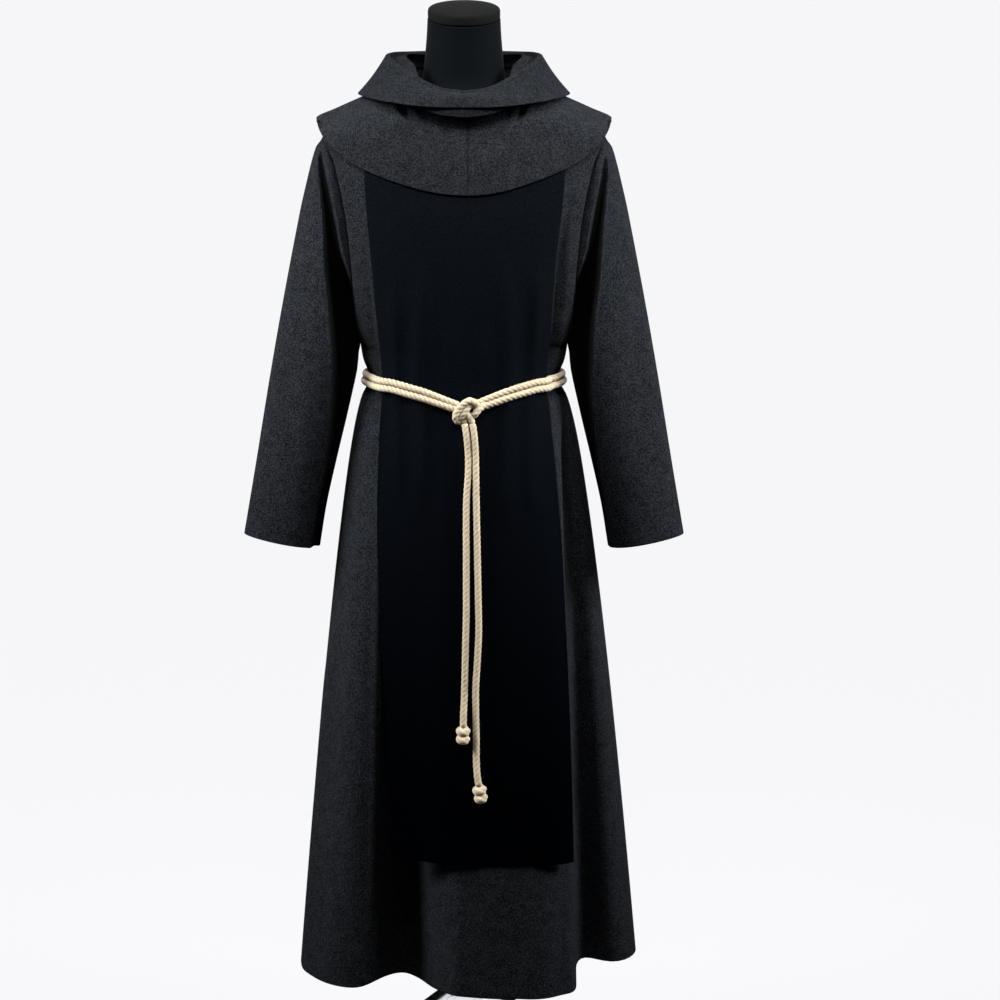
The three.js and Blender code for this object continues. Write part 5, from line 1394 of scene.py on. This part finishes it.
def tail_route(points):
    """A tail's axis: it leaves the knot, settles on the scapular, and its end knot holds it off."""
    x, z = (np.array([spot[axis] for spot in points]) for axis in (0, 1))
    down = np.clip((belt_z(0) - z) / (belt_z(0) - front_strip["hem"]), 0, 1)
    share = x / column(front_strip["edges"], "z", "right", z)
    beside = np.array([[-0.02, 0, 0.02]])
    below = np.array([[0.01], [0], [-0.01]])
    patches = [scapular_hang(front_strip, s + beside, d + below)[1] for s, d in zip(share, down)]
    cloth = np.array([patch[1, 1] for patch in patches])
    at_knot = 1 - smooth_step(0, TAIL_SETTLES_OVER, z[0] - z)
    at_end = 1 - smooth_step(0, TAIL_SETTLES_OVER, z - z[-1])
    lift = ROPE_RADIUS + TAIL_LIFT + TAIL_HELD_BY_KNOT * at_knot
    lift = lift + TAIL_HELD_BY_END_KNOT * at_end
    return np.stack([x, cloth - lift, z], axis=1)


def end_knot_route(start, hang):
    """An overhand knot drawn tight: the rope winds round itself, and its end comes out below."""
    hang = unit(hang)
    side = unit(np.cross(hang, [0, 1, 0]))
    front = np.cross(side, hang)
    spots = [start]
    for share in np.linspace(0, 1, 33):
        angle = -math.pi / 2 + share * 4 * math.pi
        radius = 0.0052 - 0.0008 * share
        fall = 0.0062 + 0.0125 * smooth_step(0.38, 0.62, share) + 0.0022 * math.sin(angle)
        spots.append(start + hang * fall + (side * math.cos(angle) - front * math.sin(angle)) * radius)
    spots.append(start + hang * 0.026)
    return np.array(spots)


def tail(side, points):
    route = tail_route(points)
    line = smooth_route(route, 0.002)
    rope = twisted_rope(f"cincture_{side}_tail", [line])
    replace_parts(rope, f"tail_{side}")
    knot_line = smooth_route(end_knot_route(line[-1], line[-1] - line[-6]), 0.001)
    knot = twisted_rope(f"{side}_end_knot", [knot_line], swell=1.22, groove_shade_share=0.25)
    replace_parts(knot, f"end_knot_{side}")


tail("left", left_tail_points)
tail("right", right_tail_points)

# The knot as the rope lies in it, x, y and z, with y from the knot's front: a loop over the doubled
# rope, its second leg, the rope's lower turn at the right, and two tails from under the loop.
knot_y = -0.098 - SCAPULAR_GAP - KNOT_HALF_DEPTH - KNOT_LIFT
knot_routes = [
    [(-0.0044, 0.010, 1.0458), (-0.0107, 0.003, 1.0484), (-0.0130, -0.001, 1.0557),
     (-0.0099, -0.002, 1.0648), (-0.0024, -0.002, 1.0740), (0.0080, -0.001, 1.0801),
     (0.0163, 0.0005, 1.0768), (0.0205, 0.005, 1.0698), (0.0184, 0.011, 1.0627)],
    [(-0.0079, 0.012, 1.0458), (-0.0058, 0.002, 1.0529), (0.0004, -0.0012, 1.0620),
     (0.0073, 0.002, 1.0705), (0.0142, 0.009, 1.0726)],
    [(0.0320, 0.012, 1.0719), (0.0239, 0.004, 1.0676), (0.0184, 0.002, 1.0607),
     (0.0121, 0.006, 1.0549), (0.0073, 0.012, 1.0529)],
    [(0.0012, 0.0059, 1.0440), (-0.0010, 0.005, 1.0515), (0.0015, 0.006, 1.0590),
     (0.0050, 0.010, 1.0660)],
    [(0.0128, 0.0059, 1.0440), (0.0092, 0.0025, 1.0520), (0.0052, 0.003, 1.0585),
     (0.0025, 0.009, 1.0650)],
]
knot_lines = []
for spots in knot_routes:
    knot_lines.append(smooth_route([(x, knot_y + y, z) for x, y, z in spots], 0.001))
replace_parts(twisted_rope("cincture_knot", knot_lines, groove_shade_share=0.3), "cincture_knot")


# ---------------------------------------------------------------- dress form
# A padded torso covered in black jersey, with a neck cut on a slope and a covered cap on it.

FORM_CLEARANCE = 0.0015
NECK_TILT = 0.167

# The torso's half width and depths, then the neck's radius and how far its rings are tilted.
form_levels = [
    {"z": 0.905, "side": 0.112, "front": -0.044, "back": 0.048},
    {"z": 0.916, "side": 0.124, "front": -0.054, "back": 0.058},
    {"z": 0.960, "side": 0.132, "front": -0.062, "back": 0.068},
    {"z": 1.030, "side": 0.136, "front": -0.074, "back": 0.076},
    {"z": 1.092, "side": 0.138, "front": -0.084, "back": 0.078},
    {"z": 1.180, "side": 0.146, "front": -0.094, "back": 0.088},
    {"z": 1.290, "side": 0.158, "front": -0.104, "back": 0.100},
    {"z": 1.370, "side": 0.166, "front": -0.102, "back": 0.102},
    {"z": 1.440, "side": 0.172, "front": -0.093, "back": 0.096},
    {"z": 1.478, "side": 0.170, "front": -0.086, "back": 0.090},
]
form_neck = [
    {"z": 1.556, "radius": 0.066, "tilt": 0},
    {"z": 1.570, "radius": 0.0625, "tilt": 0},
    {"z": 1.600, "radius": 0.0595, "tilt": 0},
    {"z": 1.630, "radius": 0.057, "tilt": 0.6},
    {"z": 1.652, "radius": 0.056, "tilt": 1},
]


def mottle(tree, surface, scale, detail, dark, light):
    """Colours a surface from dark to light by a fine noise over the piece, and gives the noise."""
    place = node(tree, "ShaderNodeTexCoord", (-900, 0))
    grain = node(tree, "ShaderNodeTexNoise", (-650, 0), {"Scale": scale, "Detail": detail})
    tree.links.new(place.outputs["Object"], grain.inputs["Vector"])
    mix = colour_mix(tree, (-300, 100), dark, light)
    tree.links.new(grain.outputs["Fac"], mix.inputs["Factor"])
    tree.links.new(mix.outputs[2], surface.inputs["Base Color"])
    return grain.outputs["Fac"]


def black_cloth(name, settings, scale, detail, dark, light):
    material, tree, cloth = surface_material(name, settings)
    grain = mottle(tree, cloth, scale, detail, dark, light)
    add_relief(tree, cloth, grain, 0.3, 0.0002)
    return material


jersey_surface = {
    "Roughness": 0.75,
    "Specular IOR Level": 0.02,
    "Sheen Weight": 0.01,
    "Sheen Roughness": 0.4,
}
form_jersey = black_cloth(
    "form jersey", jersey_surface, 900, 2, (0.0008, 0.0013, 0.0019), (0.0024, 0.0032, 0.0042)
)


def ring_body(name, rings):
    """A solid through closed rings, with a flat cap at each end."""
    rings = np.asarray(rings)
    rows, wide = rings.shape[:2]
    faces = []
    for j in range(rows - 1):
        for i in range(wide):
            following = (i + 1) % wide
            low, high = j * wide, (j + 1) * wide
            faces.append([low + i, low + following, high + following, high + i])
    faces.append(list(range(wide))[::-1])
    faces.append([(rows - 1) * wide + i for i in range(wide)])
    mesh = bpy.data.meshes.new(name)
    mesh.from_pydata((rings.reshape(-1, 3) + np.array([0, AXIS_Y, 0])).tolist(), [], faces)
    mesh.shade_smooth()
    mesh.set_sharp_from_angle(angle=SHARP_EDGE)
    body = bpy.data.objects.new(name, mesh)
    bpy.context.scene.collection.objects.link(body)
    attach(body, "root")
    return body


around_form = np.linspace(0, 2 * math.pi, 128, endpoint=False)
form_crown = np.maximum(0, 1 - np.abs(np.sin(around_form)) ** TRUNK_SQUARENESS) ** TRUNK_CROWN_POWER
form_rings = []
for level in np.linspace(form_levels[0]["z"], form_levels[-1]["z"], 60):
    side, front, back = (column(form_levels, "z", name, level) for name in ("side", "front", "back"))
    deep = form_crown * np.where(np.cos(around_form) > 0, front, back)
    form_rings.append(point(side * np.sin(around_form), deep, level))
form_turn = around_form / QUARTER
for rise in np.linspace(0.35, 1, 12):
    height = lerp(SHOULDER_Z, NECK_HOLE_Z - 0.002, rise) * np.ones(form_turn.shape)
    under_cloth = tunic_normal(form_turn, height) * (WOOL + FORM_CLEARANCE)
    form_rings.append(tunic_point(form_turn, height) - under_cloth)
for level in np.linspace(form_neck[0]["z"], form_neck[-1]["z"], 24):
    radius, tilt = (column(form_neck, "z", name, level) for name in ("radius", "tilt"))
    across = -radius * np.cos(around_form)
    form_rings.append(point(radius * np.sin(around_form), across, level + tilt * NECK_TILT * across))
torso = ring_body("dress_form_torso", form_rings)
torso.data.materials.append(form_jersey)
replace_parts(torso, "form_torso")


# ---------------------------------------------------------------- neck cap
# A turned disc covered in black cloth, slightly domed, that closes the neck. Its cover is drawn
# over the edge and glued under the rim.

CAP_RADIUS = 0.0555
CAP_HEIGHT = 0.0165
CAP_GAP = 0.0005
CAP_DOME = ((0.009, 0.0012), (0.014, 0.0009), (0.016, 0.0004))

bpy.ops.object.select_all(action="DESELECT")
bpy.ops.mesh.primitive_cylinder_add(
    vertices=128, radius=CAP_RADIUS, depth=CAP_HEIGHT, location=(0, AXIS_Y, 0)
)
cap = bpy.context.object
cap.name = "neck_cap_cover"
bpy.ops.object.mode_set(mode="EDIT")
bpy.ops.mesh.select_all(action="DESELECT")
bpy.ops.object.mode_set(mode="OBJECT")
for face in cap.data.polygons:
    face.select = face.normal.z > 0.9
bpy.ops.object.mode_set(mode="EDIT")
for inset, rise in CAP_DOME:
    bpy.ops.mesh.inset(thickness=inset)
    bpy.ops.transform.translate(value=(0, 0, rise))
bpy.ops.object.mode_set(mode="OBJECT")
bevel = cap.modifiers.new("rounded rim", "BEVEL")
bevel.width = 0.004
bevel.segments = 5
bevel.limit_method = "ANGLE"
bevel.angle_limit = SHARP_EDGE
bpy.ops.object.modifier_apply(modifier=bevel.name)
cap_middle = (0, AXIS_Y, 0)
bpy.ops.transform.rotate(value=-math.atan(NECK_TILT), orient_axis="X", center_override=cap_middle)
bpy.ops.transform.translate(value=(0, 0, form_neck[-1]["z"] + CAP_GAP + CAP_HEIGHT / 2))
bpy.ops.object.transform_apply(location=True, rotation=True, scale=True)
bpy.ops.object.shade_smooth_by_angle(angle=math.radians(40))

cap_surface = {"Roughness": 0.85, "Specular IOR Level": 0.02}
cap_cloth = black_cloth(
    "cap cloth", cap_surface, 800, 3, (0.0030, 0.0031, 0.0031), (0.0092, 0.0095, 0.0095)
)
cap.data.materials.append(cap_cloth)
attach(cap, "root")
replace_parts(cap, "neck_cap")


# ---------------------------------------------------------------- stand
# A chromed steel pole in a turned hub with three straight legs of tube, on moulded rubber feet.

POLE_RADIUS = 0.0125
POLE_LOW = 0.1243
POLE_HIGH = 0.9047
HUB_RADIUS = 0.030
HUB_LOW = 0.078
HUB_HIGH = 0.124
LEG_RADIUS = 0.011
LEG_REACH = 0.240
LEG_START = 0.0346
LEG_TOP = 0.102
LEG_LOW = 0.019
FOOT_RADIUS = 0.015
FOOT_HEIGHT = 0.008
LEG_HEADINGS = {"front_left": 218, "front_right": 338, "back": 98}

chrome_surface = {"Metallic": 1, "Roughness": 0.28}
stand_chrome, chrome_tree, chrome = surface_material("chrome", chrome_surface)
mottle(chrome_tree, chrome, 40, 2, (0.60, 0.61, 0.63), (0.72, 0.73, 0.74))

foot_rubber, rubber_tree, rubber = surface_material("foot rubber", {"Roughness": 0.8})
mottle(rubber_tree, rubber, 300, 2, (0.006, 0.006, 0.007), (0.012, 0.012, 0.013))


def rod(name, radius, start, end, rounding):
    """A round bar from start to end with its edges eased."""
    start, end = Vector(start), Vector(end)
    along = end - start
    bpy.ops.object.select_all(action="DESELECT")
    bpy.ops.mesh.primitive_cylinder_add(
        vertices=64, radius=radius, depth=along.length,
        location=(start + end) / 2 + Vector((0, AXIS_Y, 0)),
        rotation=along.to_track_quat("Z", "Y").to_euler(),
    )
    made = bpy.context.object
    made.name = name
    edge = made.modifiers.new("eased edges", "BEVEL")
    edge.width = rounding
    edge.segments = 3
    edge.limit_method = "ANGLE"
    edge.angle_limit = SHARP_EDGE
    bpy.ops.object.modifier_apply(modifier=edge.name)
    bpy.ops.object.transform_apply(location=True, rotation=True, scale=True)
    bpy.ops.object.shade_smooth_by_angle(angle=math.radians(40))
    return made


def stand_piece(made, material, node_name):
    made.data.materials.append(material)
    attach(made, "root")
    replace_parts(made, node_name)


pole = rod("pole", POLE_RADIUS, (0, 0, POLE_LOW), (0, 0, POLE_HIGH), 0.001)
stand_piece(pole, stand_chrome, "stand_pole")
hub = rod("hub", HUB_RADIUS, (0, 0, HUB_LOW), (0, 0, HUB_HIGH), 0.004)
stand_piece(hub, stand_chrome, "stand_hub")
for leg_name, degrees in LEG_HEADINGS.items():
    out_x, out_y = math.cos(math.radians(degrees)), math.sin(math.radians(degrees))
    leg_start = (LEG_START * out_x, LEG_START * out_y, LEG_TOP)
    leg_end = (LEG_REACH * out_x, LEG_REACH * out_y, LEG_LOW)
    leg = rod(f"{leg_name}_leg", LEG_RADIUS, leg_start, leg_end, 0.0008)
    stand_piece(leg, stand_chrome, f"leg_{leg_name}")
    foot_low, foot_high = ((LEG_REACH * out_x, LEG_REACH * out_y, z) for z in (0, FOOT_HEIGHT))
    foot = rod(f"{leg_name}_foot", FOOT_RADIUS, foot_low, foot_high, 0.0015)
    stand_piece(foot, foot_rubber, f"foot_{leg_name}")


# ---------------------------------------------------------------- stage and light
# A plain pale floor, and large soft lights at both sides and behind. A smaller one hangs above in
# front, and a faint one at the floor shines straight up into the hem.

STRAIGHT_UP = 9000

floor_mesh = bpy.data.meshes.new("floor")
floor_mesh.from_pydata([(-60, -60, 0), (60, -60, 0), (60, 60, 0), (-60, 60, 0)], [], [(0, 1, 2, 3)])
floor = bpy.data.objects.new("floor", floor_mesh)
bpy.context.scene.collection.objects.link(floor)
pale_surface = {
    "Base Color": (0.02, 0.02, 0.02, 1),
    "Roughness": 1,
    "Specular IOR Level": 0,
    "Emission Color": (0.922, 0.922, 0.939, 1),
    "Emission Strength": 1,
}
paper = surface_material("pale floor", pale_surface)[0]
floor_mesh.materials.append(paper)
floor.visible_diffuse = False

softboxes = [
    {"name": "left softbox", "heading": -78, "reach": 2.4, "height": 2.6, "wide": 1.4, "tall": 1.4,
     "aim": 1.02, "spread": 50, "power": 20.5},
    {"name": "right softbox", "heading": 78, "reach": 2.4, "height": 2.6, "wide": 1.4, "tall": 1.4,
     "aim": 1.04, "spread": 50, "power": 20.5},
    {"name": "top softbox", "heading": 0, "reach": 1.7, "height": 3.1, "wide": 1.2, "tall": 0.6,
     "aim": 1.45, "spread": 36, "power": 5.0},
    {"name": "back softbox", "heading": 180, "reach": 2.6, "height": 1.5, "wide": 1.6, "tall": 1.6,
     "aim": 0.95, "spread": 70, "power": 10},
    {"name": "floor bounce", "heading": 0, "reach": 0.3, "height": 0.002, "wide": 0.9, "tall": 0.7,
     "aim": STRAIGHT_UP, "spread": 180, "power": 0.5},
]
for box in softboxes:
    lamp_data = bpy.data.lights.new(box["name"], "AREA")
    lamp_data.shape = "RECTANGLE"
    lamp_data.size = box["wide"]
    lamp_data.size_y = box["tall"]
    lamp_data.energy = box["power"]
    lamp_data.spread = math.radians(box["spread"])
    lamp = bpy.data.objects.new(box["name"], lamp_data)
    lamp.visible_camera = False
    heading = math.radians(box["heading"])
    lamp.location = (box["reach"] * math.sin(heading), -box["reach"] * math.cos(heading), box["height"])
    aim = Vector((0, 0, box["aim"])) - lamp.location
    lamp.rotation_euler = aim.to_track_quat("-Z", "Y").to_euler()
    bpy.context.scene.collection.objects.link(lamp)

world = bpy.data.worlds.new("studio")
world.use_nodes = True
sky = world.node_tree
dim = sky.nodes["Background"]
dim.inputs["Color"].default_value = (0.93, 0.93, 0.94, 1)
dim.inputs["Strength"].default_value = 0.006
pale = node(sky, "ShaderNodeBackground", (0, -200))
pale.inputs["Color"].default_value = (0.93, 0.93, 0.945, 1)
seen = node(sky, "ShaderNodeLightPath", (-400, 200))
either = node(sky, "ShaderNodeMath", (-150, 200), operation="MAXIMUM")
sky.links.new(seen.outputs["Is Camera Ray"], either.inputs[0])
sky.links.new(seen.outputs["Is Glossy Ray"], either.inputs[1])
share = node(sky, "ShaderNodeMixShader", (250, 0))
sky.links.new(either.outputs[0], share.inputs[0])
sky.links.new(dim.outputs[0], share.inputs[1])
sky.links.new(pale.outputs[0], share.inputs[2])
sky.links.new(share.outputs[0], sky.nodes["World Output"].inputs["Surface"])
bpy.context.scene.world = world
bpy.context.scene.view_settings.view_transform = "Standard"
